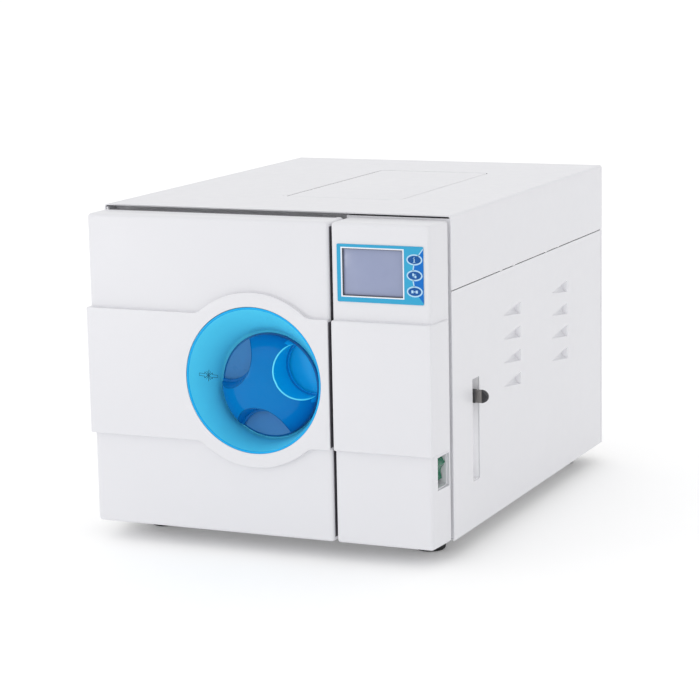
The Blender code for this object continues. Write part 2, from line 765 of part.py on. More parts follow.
def band_outline(left, right):
    """The raised band with its round bulge about the dish, blended by fillets."""
    middle = (BAND_LOW + BAND_TOP) / 2
    rise = BAND_H / 2 + BULGE_FILLET
    dx = math.sqrt((BULGE_R + BULGE_FILLET) ** 2 - rise**2)
    lean = math.degrees(math.atan2(rise, dx))
    x, fillet = DISH_X, BULGE_FILLET
    points = [(left, BAND_LOW)]
    points += arc(x - dx, middle - rise, fillet, 90, lean, 4)
    points += arc(x, middle, BULGE_R, 180 + lean, 360 - lean, 20)
    points += arc(x + dx, middle - rise, fillet, 180 - lean, 90, 4)
    points += [(right, BAND_LOW), (right, BAND_TOP)]
    points += arc(x + dx, middle + rise, fillet, 270, 180 + lean, 4)
    points += arc(x, middle, BULGE_R, lean, 180 - lean, 20)
    points += arc(x - dx, middle + rise, fillet, -lean, -90, 4)
    points += [(left, BAND_TOP)]
    return points


def bracket_starts():
    return (KNOB_Z - BRACKET_AWAY, KNOB_Z + BRACKET_AWAY - BRACKET_H)


def hinge_notches(name):
    """Clear spaces at the door's left rear edge in which the fixed hinge brackets stand."""
    spaces = []
    for z in bracket_starts():
        low = (DOOR_LEFT - 10, HINGE_BACK - BARREL_R - 6.5, z - 4)
        spaces.append(box_mesh(low, (PIVOT[0] + 18, PAN_BACK + 8, z + BRACKET_H + 4)))
    return merged(name, spaces)


def door_cover():
    """The moulded front of the door, open at the back, with the band and the dish's round hole."""
    low, high = (DOOR_LEFT, 0, FOOT_H), (DOOR_RIGHT, DOOR_DEPTH, FRONT_TOP)
    door = soften(box("door_cover", low, high, WHITE_PLASTIC, (*PIVOT, KNOB_Z)), EDGE, 3)
    outline = band_outline(DOOR_LEFT - BAND_WRAP, DOOR_RIGHT - GAP)
    join(door, soften(plate("door_band", outline, "Y", -BAND_RAISE, DOOR_DEPTH / 2), 2.2))
    low = (DOOR_LEFT + SHELL, SHELL, FOOT_H + SHELL)
    high = (DOOR_RIGHT - SHELL, DOOR_DEPTH + 5, FRONT_TOP - SHELL)
    cut(door, box("door_hollow", low, high))
    inner = SHELL - BAND_RAISE
    low = (DOOR_LEFT + SHELL, inner, BAND_LOW + SHELL)
    cut(door, box("band_hollow", low, (DOOR_RIGHT - SHELL, SHELL + 2, BAND_TOP - SHELL)))
    start, end = (DISH_X, -BAND_RAISE - 5, DISH_Z), (DISH_X, SHELL + 8, DISH_Z)
    cut(door, rod("dish_hole", start, end, DISH_R + GAP, segments=48))
    cut(door, add("liner_space", liner_space()))
    cut(door, hinge_notches("cover_notches"))
    for made in door.modifiers:
        if made.type == "BOOLEAN":
            made.solver = "MANIFOLD"  # the exact solver leaves the bulge's bevelled rim open


def leaning_cone(front, back, front_r, back_r, segments=48):
    """A cone between a front circle about the dish's centre and a lower back circle at the knob's."""
    lean = KNOB_DROP / (DISH_FLOOR + BAND_RAISE)
    bm = rod_mesh((DISH_X, front, 0), (DISH_X, back, 0), front_r, back_r, segments)
    shear = Matrix(((1, 0, 0, 0), (0, 1, 0, 0), (0, -lean, 1, 0), (0, 0, 0, 1)))
    bm.transform(Matrix.Translation((0, 0, DISH_Z - lean * BAND_RAISE)) @ shear)
    return bm


def liner_space():
    """The room that the leaning liner takes through the cover's shell, with most of a gap around it."""
    radius = DISH_R + 0.8 * GAP
    back = SHELL + 8
    return leaning_cone(LINER_FRONT, back, radius, radius - DISH_TAPER * (back - LINER_FRONT))


def dish_liner():
    back_r = KNOB_R + KNOB_RING
    front, floor = LINER_FRONT, DISH_FLOOR
    outer_back = back_r + DISH_WALL - DISH_TAPER * DISH_WALL
    bm = leaning_cone(front, floor + DISH_WALL, DISH_R, outer_back)
    liner = add("dish_liner", bm, LIGHT_BLUE, (*PIVOT, KNOB_Z))
    bm = leaning_cone(front - 5, floor, DISH_R - DISH_WALL + 5 * DISH_TAPER, back_r)
    cut(liner, add("dish_hollow", bm))
    start, end = (DISH_X, floor - 5, KNOB_Z), (DISH_X, floor + 8, KNOB_Z)
    cut(liner, rod("spindle_hole", start, end, SPINDLE_R + 1.0, segments=24))


def knob():
    centre = (DISH_X, BASE_FACE, KNOB_Z)
    edge = 1.2
    profile = [(0, KNOB_BASE_T), (KNOB_R, KNOB_BASE_T), (KNOB_R, edge)]
    turned("knob_base", profile + [(KNOB_R - edge, 0), (0, 0)], centre, "Y", DEEP_BLUE, 48)
    centre = (DISH_X, GRIP_BACK, KNOB_Z)
    profile = [(0, 0), (GRIP_R, 0)]
    for k in range(1, 9):
        angle = math.radians(k * 90 / 8)
        radius = GRIP_R * math.cos(angle) ** 0.8
        profile.append((max(radius, 0.0) if k < 8 else 0.0, -GRIP_H * math.sin(angle) ** 0.85))
    grip = turned("knob_grip", profile, centre, "Y", DEEP_BLUE, 48)
    for k in range(3):
        angle = math.radians(SCALLOP_FIRST + 120 * k)
        x = DISH_X + SCALLOP_OUT * math.cos(angle)
        z = KNOB_Z + SCALLOP_OUT * math.sin(angle)
        start, end = (x, GRIP_BACK + 3, z), (x, GRIP_BACK - GRIP_H - 3, z)
        flare = SCALLOP_R + SCALLOP_FLARE
        cut(grip, rod(f"scallop_{k}", start, end, SCALLOP_R, None, flare, 40))


def spindle():
    """The knob's shaft with the pinion that drives the bolt."""
    start = (DISH_X, BASE_FACE + KNOB_BASE_T + GAP, KNOB_Z)
    end = BOLT_FACE + PINION_T
    shaft = rod("spindle", start, (DISH_X, end + 1.5, KNOB_Z), SPINDLE_R - 1.5, STEEL)
    join(shaft, rod("spindle_collar", start, (DISH_X, BOLT_FACE - 0.5, KNOB_Z), SPINDLE_R))
    tip, root = PINION_R + 1.2, PINION_R - 1.6
    points = []
    step = 360.0 / PINION_TEETH
    for k in range(PINION_TEETH):
        middle = 90 + (k + 0.5) * step
        for radius, share in ((root, -0.3), (tip, -0.12), (tip, 0.12), (root, 0.3)):
            angle = math.radians(middle + share * step)
            points.append((DISH_X + radius * math.cos(angle), KNOB_Z + radius * math.sin(angle)))
    join(shaft, plate("pinion", points, "Y", BOLT_FACE, end))


def latch_bolt():
    """A bar with a toothed underside above the pinion, which the knob pushes into the striker."""
    travel = PINION_R * BOLT_TURN
    pitch_line = KNOB_Z + PINION_R
    root, tip = pitch_line + 1.8, pitch_line - 1.1
    top = root + BOLT_H
    left = DISH_X - travel - 2.5 * TOOTH
    points = [(BOLT_END, top), (left, top), (left, root)]
    count = int((DISH_X + 2.5 * TOOTH - left) / TOOTH)
    for k in range(-count, 3):
        middle = DISH_X + k * TOOTH
        if middle - 0.3 * TOOTH > left:
            points += [(middle - 0.3 * TOOTH, root), (middle - 0.12 * TOOTH, tip)]
            points += [(middle + 0.12 * TOOTH, tip), (middle + 0.3 * TOOTH, root)]
    points.append((BOLT_END, root))
    plate("latch_bolt", points, "Y", BOLT_FACE, BOLT_FACE + BOLT_T, STEEL)


def bolt_space():
    """Low and high corners, in Y and Z, of the bolt's bar with its running gap."""
    root = KNOB_Z + PINION_R + 1.8
    low = (BOLT_FACE - 0.6, root - 0.6)
    return low, (BOLT_FACE + BOLT_T + 0.6, root + BOLT_H + 0.6)


def striker():
    (y0, z0), (y1, z1) = bolt_space()
    left = BOLT_END + STRIKER_GAP
    middle = (z0 + z1) / 2
    low, high = middle - STRIKER_H / 2, middle + STRIKER_H / 2
    back = FRAME_BACK - GAP
    block = box("door_striker", (left, y0 - 3.2, low), (left + STRIKER_W, back, high), STEEL)
    start, end = (left - 4, back - 2.6, low - 12), (left + STRIKER_W + 2, back, high + 12)
    join(block, box("striker_foot", start, end))
    cut(block, box("striker_eye", (left - 5, y0, z0), (left + STRIKER_W + 5, y1, z1)))


def door_bridge():
    """The load-carrying arm: a barrel on the hinge pin, a web, and a flat across the chamber's front."""
    half = BRIDGE_H / 2
    low, high = KNOB_Z - half, KNOB_Z + half
    back = BRIDGE_BACK + BRIDGE_T
    left = DOOR_LEFT + PAN_INSET + SHEET + GAP
    right = BOLT_END - 1
    start = (left, BRIDGE_BACK, low)
    bridge = box("door_bridge", start, (right, back, high), STEEL, (*PIVOT, KNOB_Z))
    join(bridge, box("bridge_web", (left, PIVOT[1], low), (left + 12, back - 1, high)))
    join(bridge, rod("bridge_barrel", (*PIVOT, low), (*PIVOT, high), BARREL_R, segments=24))
    (y0, z0), (y1, z1) = bolt_space()
    middle = (DISH_X + BOLT_END) / 2 + 9
    start, end = middle - GUIDE_L / 2, middle + GUIDE_L / 2
    guide_back = PAN_BACK - SHEET - 0.5
    join(bridge, box("bolt_guide", (start, back - 1, z0 - 5), (end, guide_back, z1 + 3.5)))
    cut(bridge, box("guide_eye", (start - 8, y0, z0), (end + 6, y1, z1)))
    cut(bridge, rod("pin_bore", (*PIVOT, low - 5), (*PIVOT, high + 5), PIN_R + SLIP, segments=24))
    bore_from, bore_to = BRIDGE_BACK - 5, back + 2
    bores = (("spindle", DISH_X, SPINDLE_R + SLIP), ("hub", CHAMBER_X, HUB_R / 2 + SLIP))
    for name, x, radius in bores:
        start, end = (x, bore_from, KNOB_Z), (x, bore_to, KNOB_Z)
        cut(bridge, rod(name + "_bore", start, end, radius, segments=24))


def door_pan():
    """The folded steel pan that closes the back of the door."""
    low = (DOOR_LEFT + PAN_INSET, PAN_FRONT, FOOT_H + PAN_INSET)
    high = (DOOR_RIGHT - PAN_INSET, PAN_BACK, FRONT_TOP - PAN_INSET)
    pan = box("door_pan", low, high, STEEL, (*PIVOT, KNOB_Z))
    low = (low[0] + SHEET, low[1] - 5, low[2] + SHEET)
    cut(pan, box("pan_hollow", low, (high[0] - SHEET, high[1] - SHEET, high[2] - SHEET)))
    start, end = (CHAMBER_X, PAN_BACK - 5, KNOB_Z), (CHAMBER_X, PAN_BACK + 5, KNOB_Z)
    cut(pan, rod("hub_hole", start, end, HUB_R + 3, segments=32))
    (_, z0), (_, z1) = bolt_space()
    middle = (z0 + z1) / 2
    reach = STRIKER_H / 2 + 4
    low = (BOLT_END + STRIKER_GAP - 5, PAN_FRONT + 1, middle - reach)
    cut(pan, box("striker_slot", low, (DOOR_RIGHT + 5, PAN_BACK + 5, middle + reach)))
    cut(pan, hinge_notches("pan_notches"))


def hinge():
    for label, z in zip(("lower", "upper"), bracket_starts()):
        x, y = PIVOT
        back = FRAME_BACK - GAP
        low, high = (x - 5, y, z), (x + 5, back, z + BRACKET_H)
        bracket = box(f"hinge_bracket_{label}", low, high, STEEL)
        top = z + BRACKET_H
        join(bracket, rod(f"{label}_barrel", (x, y, z), (x, y, top), BARREL_R, segments=24))
        join(bracket, box(f"{label}_foot", (x - 7, back - 2.6, z), (x + 14, back, top)))
        cut(bracket, rod(f"{label}_bore", (x, y, z - 5), (x, y, top + 5), PIN_R + SLIP, segments=24))
    first, last = bracket_starts()
    start, end = (*PIVOT, first - 3), (*PIVOT, last + BRACKET_H + 3)
    rod("hinge_pin", start, end, PIN_R, STEEL, segments=24)


def pressure_plate():
    """The round plate that the door presses to the chamber, with the hub that runs in the bridge."""
    hub = BRIDGE_BACK + BRIDGE_T + 0.4
    front, back = PLATE_BACK, PLATE_BACK + PLATE_T
    boss = SEAL_IN - GAP
    profile = [(0, back), (boss, back), (boss, back - 2.5), (PLATE_R, back - 2.5)]
    profile += [(PLATE_R, front + 1.5), (PLATE_R - 1.5, front), (HUB_R, front), (HUB_R, hub)]
    profile += [(HUB_R / 2, hub), (HUB_R / 2, BRIDGE_BACK - 1), (0, BRIDGE_BACK - 1)]
    centre = (CHAMBER_X, 0, KNOB_Z)
    turned("pressure_plate", profile, centre, "Y", STEEL, 40)
    low = back - 2.5 + GAP
    ring("door_seal", SEAL_IN, SEAL_IN + SEAL_W, low, SEAL_BACK, centre, "Y", SILICONE, 40)


# -------------------------------------------------------------------------------------- chamber


def chamber():
    """The pressure vessel: flange, cylinder and dished back."""
    outer, inner = CHAMBER_R + CHAMBER_WALL, CHAMBER_R
    straight = CHAMBER_BACK - CHAMBER_DOME
    dome = [math.radians(90 - 22.5 * k) for k in range(5)]
    deep = CHAMBER_DOME + CHAMBER_WALL
    profile = [(outer * math.cos(a), straight + deep * math.sin(a)) for a in dome]
    profile[0] = (0.0, straight + deep)
    profile += [(outer, FLANGE_FACE + FLANGE_T), (FLANGE_R, FLANGE_FACE + FLANGE_T)]
    profile += [(FLANGE_R, FLANGE_FACE), (inner, FLANGE_FACE)]
    back = [(inner * math.cos(a), straight + CHAMBER_DOME * math.sin(a)) for a in reversed(dome)]
    back[-1] = (0.0, straight + CHAMBER_DOME)
    centre = (CHAMBER_X, 0, KNOB_Z)
    turned("chamber", profile + back, centre, "Y", STEEL, 40)
    start = outer + SLIP
    near = FLANGE_FACE + BAND_START
    ring("heater_band", start, start + BAND_T, near, near + BAND_L, centre, "Y", ALUMINIUM, 40)
    start += BAND_T + SLIP
    near, far = FLANGE_FACE + FLANGE_T + 6, straight - 2
    ring("lagging", start, start + LAGGING_T, near, far, centre, "Y", WOOL, 40)


def tray_rack():
    """Four rails whose outer edges sit on the chamber's wall, on two U-shaped frames."""
    near = FLANGE_FACE + RACK_START
    far = near + RACK_L
    inner = TRAY_W / 2 + 2.5
    outer = inner + POST_T
    floor = KNOB_Z + TRAY_LEVELS[0] - RAIL_T - POST_T
    tie_top, post_top = floor + POST_T + RAIL_T / 2, KNOB_Z + TRAY_LEVELS[1] - RAIL_T / 2
    low = (CHAMBER_X - outer, near, floor)
    rack = box("tray_rack", low, (CHAMBER_X + outer, near + POST_W, tie_top), STEEL)
    low = (CHAMBER_X - outer, far - POST_W, floor)
    join(rack, box("rack_tie", low, (CHAMBER_X + outer, far, tie_top)))
    for side in (-1, 1):
        start, end = sorted((CHAMBER_X + side * inner, CHAMBER_X + side * outer))
        for y in (near, far - POST_W):
            join(rack, box("rack_post", (start, y, floor), (end, y + POST_W, post_top)))
        for level in TRAY_LEVELS:
            under = RAIL_T - level if level < 0 else level
            reach = math.sqrt((CHAMBER_R - 2 * GAP) ** 2 - under**2)
            start, end = sorted(
                (CHAMBER_X + side * (TRAY_W / 2 - RAIL_UNDER), CHAMBER_X + side * reach)
            )
            z = KNOB_Z + level
            join(rack, box("rack_rail", (start, near, z - RAIL_T), (end, far, z)))


def trays():
    front = FLANGE_FACE + TRAY_START
    for label, level in zip(("lower", "upper"), TRAY_LEVELS):
        z = KNOB_Z + level + GAP
        half = TRAY_W / 2
        low, high = (CHAMBER_X - half, front, z), (CHAMBER_X + half, front + TRAY_L, z + TRAY_H)
        tray = box(f"tray_{label}", low, high, STEEL, (CHAMBER_X, front, z))
        inside = [low[0] + TRAY_SHEET, low[1] + TRAY_SHEET, z + TRAY_SHEET]
        cut(tray, box(f"tray_{label}_hollow", inside, (high[0] - TRAY_SHEET, high[1] - TRAY_SHEET, z + 40)))
        slots = []
        for k in range(7):
            y = front + 30 + k * (TRAY_L - 60) / 6
            for side in (-1, 1):
                x = CHAMBER_X + side * half * 0.48
                slots.append(box_mesh((x - half * 0.34, y - 4, z - 3), (x + half * 0.34, y + 4, z + 5)))
        cut(tray, merged(f"tray_{label}_slots", slots))


# ------------------------------------------------------------------------- tank and inner units


def water_tank():
    half_w, half_l = TANK_W / 2, TANK_L / 2
    rim = CASE_TOP - SHEET - GAP
    low = rim - TANK_H
    neck = 7.0
    inner_w, inner_l = half_w - neck, half_l - neck
    start = (TANK_X - inner_w - TANK_WALL, TANK_Y - inner_l - TANK_WALL, low)
    end = (TANK_X + inner_w + TANK_WALL, TANK_Y + inner_l + TANK_WALL, rim)
    tank = box("water_tank", start, end, TANK)
    start = (TANK_X - half_w - 6, TANK_Y - half_l - 6, rim - 2.5)
    join(tank, box("tank_rim", start, (TANK_X + half_w + 6, TANK_Y + half_l + 6, rim)))
    start = (TANK_X - inner_w, TANK_Y - inner_l, low + TANK_WALL)
    cut(tank, box("tank_hollow", start, (TANK_X + inner_w, TANK_Y + inner_l, rim + 5)))
    grow = -LID_GAP
    outline = rect(
        TANK_X - half_w - grow,
        TANK_Y - half_l - grow,
        TANK_X + half_w + grow,
        TANK_Y + half_l + grow,
        LID_CORNER - LID_GAP,
    )
    middle = (TANK_X, TANK_Y, CASE_TOP)
    lid = plate("tank_lid", outline, "Z", rim + GAP, CASE_TOP, WHITE_PAINT, middle)
    plug = 1.5
    start = (TANK_X - inner_w + plug, TANK_Y - inner_l + plug, rim - 4)
    join(lid, box("lid_plug", start, (TANK_X + inner_w - plug, TANK_Y + inner_l - plug, rim + 0.8)))


def vacuum_pump():
    right = HALF_W - SIDE_CLEAR - 6
    start = CASE_FRONT + PUMP_START
    low = (right - PUMP_W, start, UNIT_FLOOR)
    pump = box("vacuum_pump", low, (right, start + PUMP_L, UNIT_FLOOR + PUMP_H), ALUMINIUM)
    soften(pump, 3.0)
    x, z = right - PUMP_W / 2, UNIT_FLOOR + PUMP_H / 2
    near, far = start + PUMP_L - 5, start + PUMP_L + MOTOR_L
    join(pump, rod("pump_motor", (x, near, z), (x, far, z), MOTOR_R, segments=28))
    low = (HALF_W - SIDE_CLEAR - SUPPLY_W, start, UNIT_FLOOR + PUMP_H + 10)
    high = (low[0] + SUPPLY_W, start + SUPPLY_L, low[2] + SUPPLY_H)
    supply = box("power_supply", low, high, ALUMINIUM)
    slots = []
    for k in range(6):
        y = start + 8 + 14 * k
        slots.append(box_mesh((low[0] - 4, y, low[2] + 16), (low[0] + 12, y + 6, high[2] - 16)))
    cut(supply, merged("supply_slots", slots))


def steam_generator():
    x, y = HALF_W - SIDE_CLEAR - BOILER_R - 12, CASE_FRONT + BOILER_START
    top = UNIT_FLOOR + BOILER_H
    boiler = rod("steam_generator", (x, y, UNIT_FLOOR), (x, y, top), BOILER_R, STEEL)
    flange = rod("boiler_flange", (x, y, top - 12), (x, y, top - 4), BOILER_R + 8, segments=32)
    join(boiler, flange)


def valves():
    left, near = HALF_W - SIDE_CLEAR - 32 - VALVES_W, CASE_FRONT + 84
    low = CASE_TOP - 182
    top = low + VALVES_H
    corner = (left + VALVES_W, near + VALVES_L, top)
    block = box("valve_block", (left, near, low), corner, BRASS)
    coils = []
    for k in range(3):
        x, y = left + 14 + 25 * k, near + VALVES_L / 2
        coils.append(rod_mesh((x, y, top - 2), (x, y, top + 30), COIL_R, segments=20))
    join(block, merged("coils", coils))
    x, y = HALF_W - SIDE_CLEAR - FILTER_R - 3, CASE_FRONT + 54
    low, high = CASE_TOP - 92, CASE_TOP - 92 + FILTER_H
    body = rod("air_filter", (x, y, low), (x, y, high), FILTER_R, WHITE_PLASTIC)
    join(body, rod("filter_nipple", (x, y, low - 18), (x, y, high + 15), 5, segments=16))
    x, y = CHAMBER_X + 82, CHAMBER_BACK + 60
    low = CASE_TOP - 170
    valve = rod("safety_valve", (x, y, low), (x, y, low + 48), 11, BRASS, segments=24)
    join(valve, rod("valve_cap", (x, y, low + 46), (x, y, low + 60), 15, segments=24))


def condenser():
    """A finned heat exchanger against the rear panel."""
    left = -HALF_W + 35
    right = left + COOLER_W
    low = CASE_TOP - 182
    root, tip = low + 12, low + COOLER_H
    pitch = COOLER_W / (FINS - 0.65)
    points = [(left, low), (right, low)]
    for k in range(FINS):
        x = right - k * pitch
        end = x - pitch * 0.35
        points += [(x, root), (x, tip), (end, tip), (end, root)]
    far = REAR_FACE - 30
    plate("condenser", points[:2] + points[3:-1], "Y", far - COOLER_L, far, ALUMINIUM)


def fan():
    rear = REAR_FACE - SHEET - GAP
    depth, half, wall = 28.0, FAN_R + 4, 3.0
    low = (FAN_X - half, rear - depth, FAN_Z - half)
    shroud = box("fan_shroud", low, (FAN_X + half, rear, FAN_Z + half), BLACK)
    start, end = (FAN_X, rear - depth - 5, FAN_Z), (FAN_X, rear + 5, FAN_Z)
    cut(shroud, rod("fan_bore", start, end, FAN_R, segments=40))
    low = (FAN_X - half, rear - wall, FAN_Z - 3)
    join(shroud, box("fan_spoke", low, (FAN_X + half, rear, FAN_Z + 3)))
    hub = (FAN_X, rear - depth, FAN_Z)
    front, back = rear - depth + 2, rear - wall - 1.5
    start, end = (FAN_X, front, FAN_Z), (FAN_X, back, FAN_Z)
    rotor = rod("fan_rotor", start, end, 18, BLACK, None, 28, hub)
    for k in range(7):
        turn = Matrix.Rotation(math.radians(k * 360 / 7), 4, "Y")
        lean = Matrix.Rotation(math.radians(38), 4, "Z")
        bm = box_mesh((-1.0, -9.0, 12.0), (1.0, 9.0, FAN_R - 3))
        centre = Matrix.Translation((FAN_X, (front + back) / 2, FAN_Z))
        bm.transform(centre @ turn @ lean)
        join(rotor, add(f"blade_{k}", bm))


def rear_fittings():
    face = REAR_FACE
    inlet = box("power_inlet", *inlet_corners(face - 22, face + 1), BLACK)
    low, high = inlet_corners(face + GAP, face + 3, 5.0)
    join(inlet, box("inlet_flange", low, high))
    low = (INLET_X - 14, face - 16, INLET_Z - 9)
    cut(inlet, box("inlet_hollow", low, (INLET_X + 14, face + 6, INLET_Z + 9)))
    for name, inward in zip(("drain_port", "fill_port"), PORTS_IN):
        x, z = HALF_W - inward, PORT_Z
        start, end = (x, face - 14, z), (x, face + PORT_REACH, z)
        port = rod(name, start, end, PORT_R, BRASS, segments=20)
        nut = rod(name + "_nut", (x, face + GAP, z), (x, face + 7, z), 2 * PORT_R + 0.5, segments=6)
        join(port, nut)
        start, end = (x, face - 20, z), (x, face + PORT_REACH + 5, z)
        cut(port, rod(name + "_bore", start, end, PORT_R - 2, segments=16))
    for k, inward in enumerate(FUSES_IN):
        x, z = -HALF_W + inward, FUSE_Z
        fuse = rod(f"fuse_holder_{k + 1}", (x, face - 25, z), (x, face + 2, z), FUSE_R, BLACK)
        cap = rod(f"fuse_cap_{k}", (x, face + GAP, z), (x, face + 9, z), FUSE_R + 2, segments=20)
        join(fuse, cap)


case_panels()
front_frame()
feet()
control_column()
display()
power_switch()
data_recess()
door_cover()
dish_liner()
knob()
spindle()
latch_bolt()
striker()
door_bridge()
door_pan()
hinge()
pressure_plate()
chamber()
tray_rack()
trays()
water_tank()
vacuum_pump()
steam_generator()
valves()
condenser()
fan()
rear_fittings()
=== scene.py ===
"""Looks of the benchtop autoclave: every piece in fine detail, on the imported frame.

Lengths in this script are millimetres in the design frame: +X to the viewer's right, +Y from the
door's front face to the rear, +Z up from the bench. A piece is drawn there and moved to the
object's frame in metres as it is made.
"""

import json
import math

import bmesh
import bpy
from mathutils import Matrix, Vector


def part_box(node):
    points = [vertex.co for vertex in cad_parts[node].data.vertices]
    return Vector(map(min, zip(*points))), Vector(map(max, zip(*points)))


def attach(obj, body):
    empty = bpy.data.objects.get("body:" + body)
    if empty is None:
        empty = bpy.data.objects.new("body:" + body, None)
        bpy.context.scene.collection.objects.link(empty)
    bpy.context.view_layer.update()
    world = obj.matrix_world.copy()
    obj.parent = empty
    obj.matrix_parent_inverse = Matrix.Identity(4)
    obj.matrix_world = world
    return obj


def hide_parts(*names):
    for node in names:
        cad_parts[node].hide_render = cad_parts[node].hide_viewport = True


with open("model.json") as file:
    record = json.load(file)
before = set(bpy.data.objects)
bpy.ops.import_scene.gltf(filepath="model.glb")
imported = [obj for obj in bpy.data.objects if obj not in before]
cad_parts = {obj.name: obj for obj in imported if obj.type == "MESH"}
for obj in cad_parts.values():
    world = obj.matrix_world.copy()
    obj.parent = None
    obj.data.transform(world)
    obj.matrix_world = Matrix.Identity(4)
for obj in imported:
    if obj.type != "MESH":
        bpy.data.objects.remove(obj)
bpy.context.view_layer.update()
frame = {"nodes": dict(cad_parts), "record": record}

MM = 0.001
HALF_W = 240.0
BAND_RAISE = 6.0
case_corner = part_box("top_cover")[0]
door_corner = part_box("door_cover")[0]
SHIFT = Vector((case_corner.x / MM + HALF_W, door_corner.y / MM + BAND_RAISE, 0.0))

record = frame["record"]
BODY = {n: body for body, nodes in record["behaviour"]["bodies"].items() for n in nodes}


def box(node):
    """Low and high corner of a CAD node, in design millimetres."""
    low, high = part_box(node)
    return low / MM - SHIFT, high / MM - SHIFT


# Sizes that the pieces share
GAP = 0.3
SHEET = 1.5
COVER_BEND = 4.0
SHELL = 3.0
EDGE = 4.5
BAND_WRAP = 2.5
# Lift and depth of the dark strips of painted shadow along the door's gaps.
SHADOW_STRIP_LIFT = 0.3
SHADOW_STRIP_DEPTH = 5.0
DOME_SIDE = 0.94
DOME_FRONT = 0.95
KEY_HOLE = (9.2, 5.7)
SCREEN_BORDER = (118.3, 336.1, 201.3, 397.3)
BAND_LOW, BAND_TOP = 143.0, 306.5
BULGE_R = 111.0
BULGE_FILLET = 20.0
DISH_X, DISH_Z, DISH_R = -3.0, 224.7, 93.0
DISH_FLOOR = 49.3
KNOB_Z = 209.7
KNOB_R = 67.0
GRIP_R, GRIP_H = 65.5, 33.0
SCALLOP_OUT, SCALLOP_R, SCALLOP_FLARE = 69.0, 37.0, 9.0
SCALLOP_FIRST = 145.0
VENT_OFFSETS = (184.0, 376.0)
VENT_L, VENT_LOW, VENT_PITCH, VENT_ROWS, VENT_R = 64.0, 186.0, 31.3, 4, 8.0

case_low, case_high = box("top_cover")
door_low, door_high = box("door_cover")
column_low, column_high = box("control_column")
DOOR_LEFT, DOOR_RIGHT = door_low.x + BAND_WRAP, door_high.x
COLUMN_L, COLUMN_R = column_low.x, 234.5
COLUMN_DRAFT = 3.6
FRONT_LOW, FRONT_TOP = door_low.z, door_high.z
PIVOT = (DOOR_LEFT + 12.0, 20.0)

# ------------------------------------------------------------------------------------ materials


def noise(tree, scale, detail=3.0, rough=0.5, stretch=None):
    source = tree.nodes.new("ShaderNodeTexCoord").outputs["Object"]
    if stretch is not None:
        mapping = tree.nodes.new("ShaderNodeMapping")
        mapping.inputs["Scale"].default_value = stretch
        tree.links.new(source, mapping.inputs["Vector"])
        source = mapping.outputs["Vector"]
    made = tree.nodes.new("ShaderNodeTexNoise")
    made.inputs["Scale"].default_value = scale
    made.inputs["Detail"].default_value = detail
    made.inputs["Roughness"].default_value = rough
    tree.links.new(source, made.inputs["Vector"])
    return made.outputs["Fac"]


def remap(tree, source, low, high, start=0.3, end=0.7):
    made = tree.nodes.new("ShaderNodeMapRange")
    made.inputs["From Min"].default_value = start
    made.inputs["From Max"].default_value = end
    made.inputs["To Min"].default_value = low
    made.inputs["To Max"].default_value = high
    tree.links.new(source, made.inputs["Value"])
    return made.outputs["Result"]


def mix_colours(tree, factor, first, second):
    made = tree.nodes.new("ShaderNodeMix")
    made.data_type = "RGBA"
    tree.links.new(factor, made.inputs["Factor"])
    sockets = [s for s in made.inputs if s.type == "RGBA"]
    for socket, value in zip(sockets, (first, second)):
        if isinstance(value, tuple):
            socket.default_value = (*value, 1.0)
        else:
            tree.links.new(value, socket)
    return next(s for s in made.outputs if s.type == "RGBA")


def surface(
    name,
    colour,
    roughness,
    metallic=0.0,
    vary=0.03,
    grain=900.0,
    depth=0.02,
    strength=0.25,
    coat=0.0,
    edge_wear_and_highlight=0.0,
    stretch=None,
    uneven=0.08,
    glow=0.0,
    specular=0.5,
):
    """A finish with slow colour drift, fine grain in the bump, uneven gloss and lighter edges, partly wear
    and partly a painted highlight.
    """
    made = bpy.data.materials.new(name)
    made.use_nodes = True
    tree = made.node_tree
    shader = tree.nodes["Principled BSDF"]
    shades = [tuple(min(1.0, c * (1 + k)) for c in colour) for k in (-vary, vary)]
    tint = mix_colours(tree, remap(tree, noise(tree, 9.0, 4.0, 0.55), 0.0, 1.0), *shades)
    # Lighter edges from pointiness: partly edge wear, partly a painted highlight along the rounded edges.
    if edge_wear_and_highlight > 0:
        edge = tree.nodes.new("ShaderNodeNewGeometry").outputs["Pointiness"]
        lit = tuple(min(1.0, c * 0.6 + 0.38) for c in colour)
        tint = mix_colours(tree, remap(tree, edge, 0.0, edge_wear_and_highlight, 0.505, 0.56), tint, lit)
    tree.links.new(tint, shader.inputs["Base Color"])
    low, high = max(0.02, roughness - uneven), min(1.0, roughness + uneven)
    gloss = remap(tree, noise(tree, 60.0, 5.0, 0.6, stretch), low, high)
    tree.links.new(gloss, shader.inputs["Roughness"])
    shader.inputs["Metallic"].default_value = metallic
    shader.inputs["Coat Weight"].default_value = coat
    shader.inputs["Specular IOR Level"].default_value = specular
    shader.inputs["Coat Roughness"].default_value = 0.06
    if glow > 0:
        shader.inputs["Subsurface Weight"].default_value = glow
        shader.inputs["Subsurface Radius"].default_value = (0.2, 0.6, 1.0)
        shader.inputs["Subsurface Scale"].default_value = 4 * MM
    bump = tree.nodes.new("ShaderNodeBump")
    bump.inputs["Strength"].default_value = strength
    bump.inputs["Distance"].default_value = depth * MM
    tree.links.new(noise(tree, grain, 3.0, 0.6, stretch), bump.inputs["Height"])
    tree.links.new(bump.outputs["Normal"], shader.inputs["Normal"])
    return made


def brushed(name, colour, roughness, along, fineness=2600.0, edge_wear_and_highlight=0.15):
    """Metal brushed along one axis: its grain is drawn out that way."""
    stretch = {"X": (0.02, 1, 1), "Y": (1, 0.02, 1), "Z": (1, 1, 0.02)}[along]
    return surface(
        name, colour, roughness, 1.0, 0.05, fineness, 0.012, 0.35, 0.0, edge_wear_and_highlight, stretch, 0.1
    )


def printed(name, colour, roughness=0.32, coat=0.0):
    return surface(
        name, colour, roughness, 0.0, 0.03, 2600.0, 0.008, 0.12, coat, uneven=0.05, specular=0.25
    )


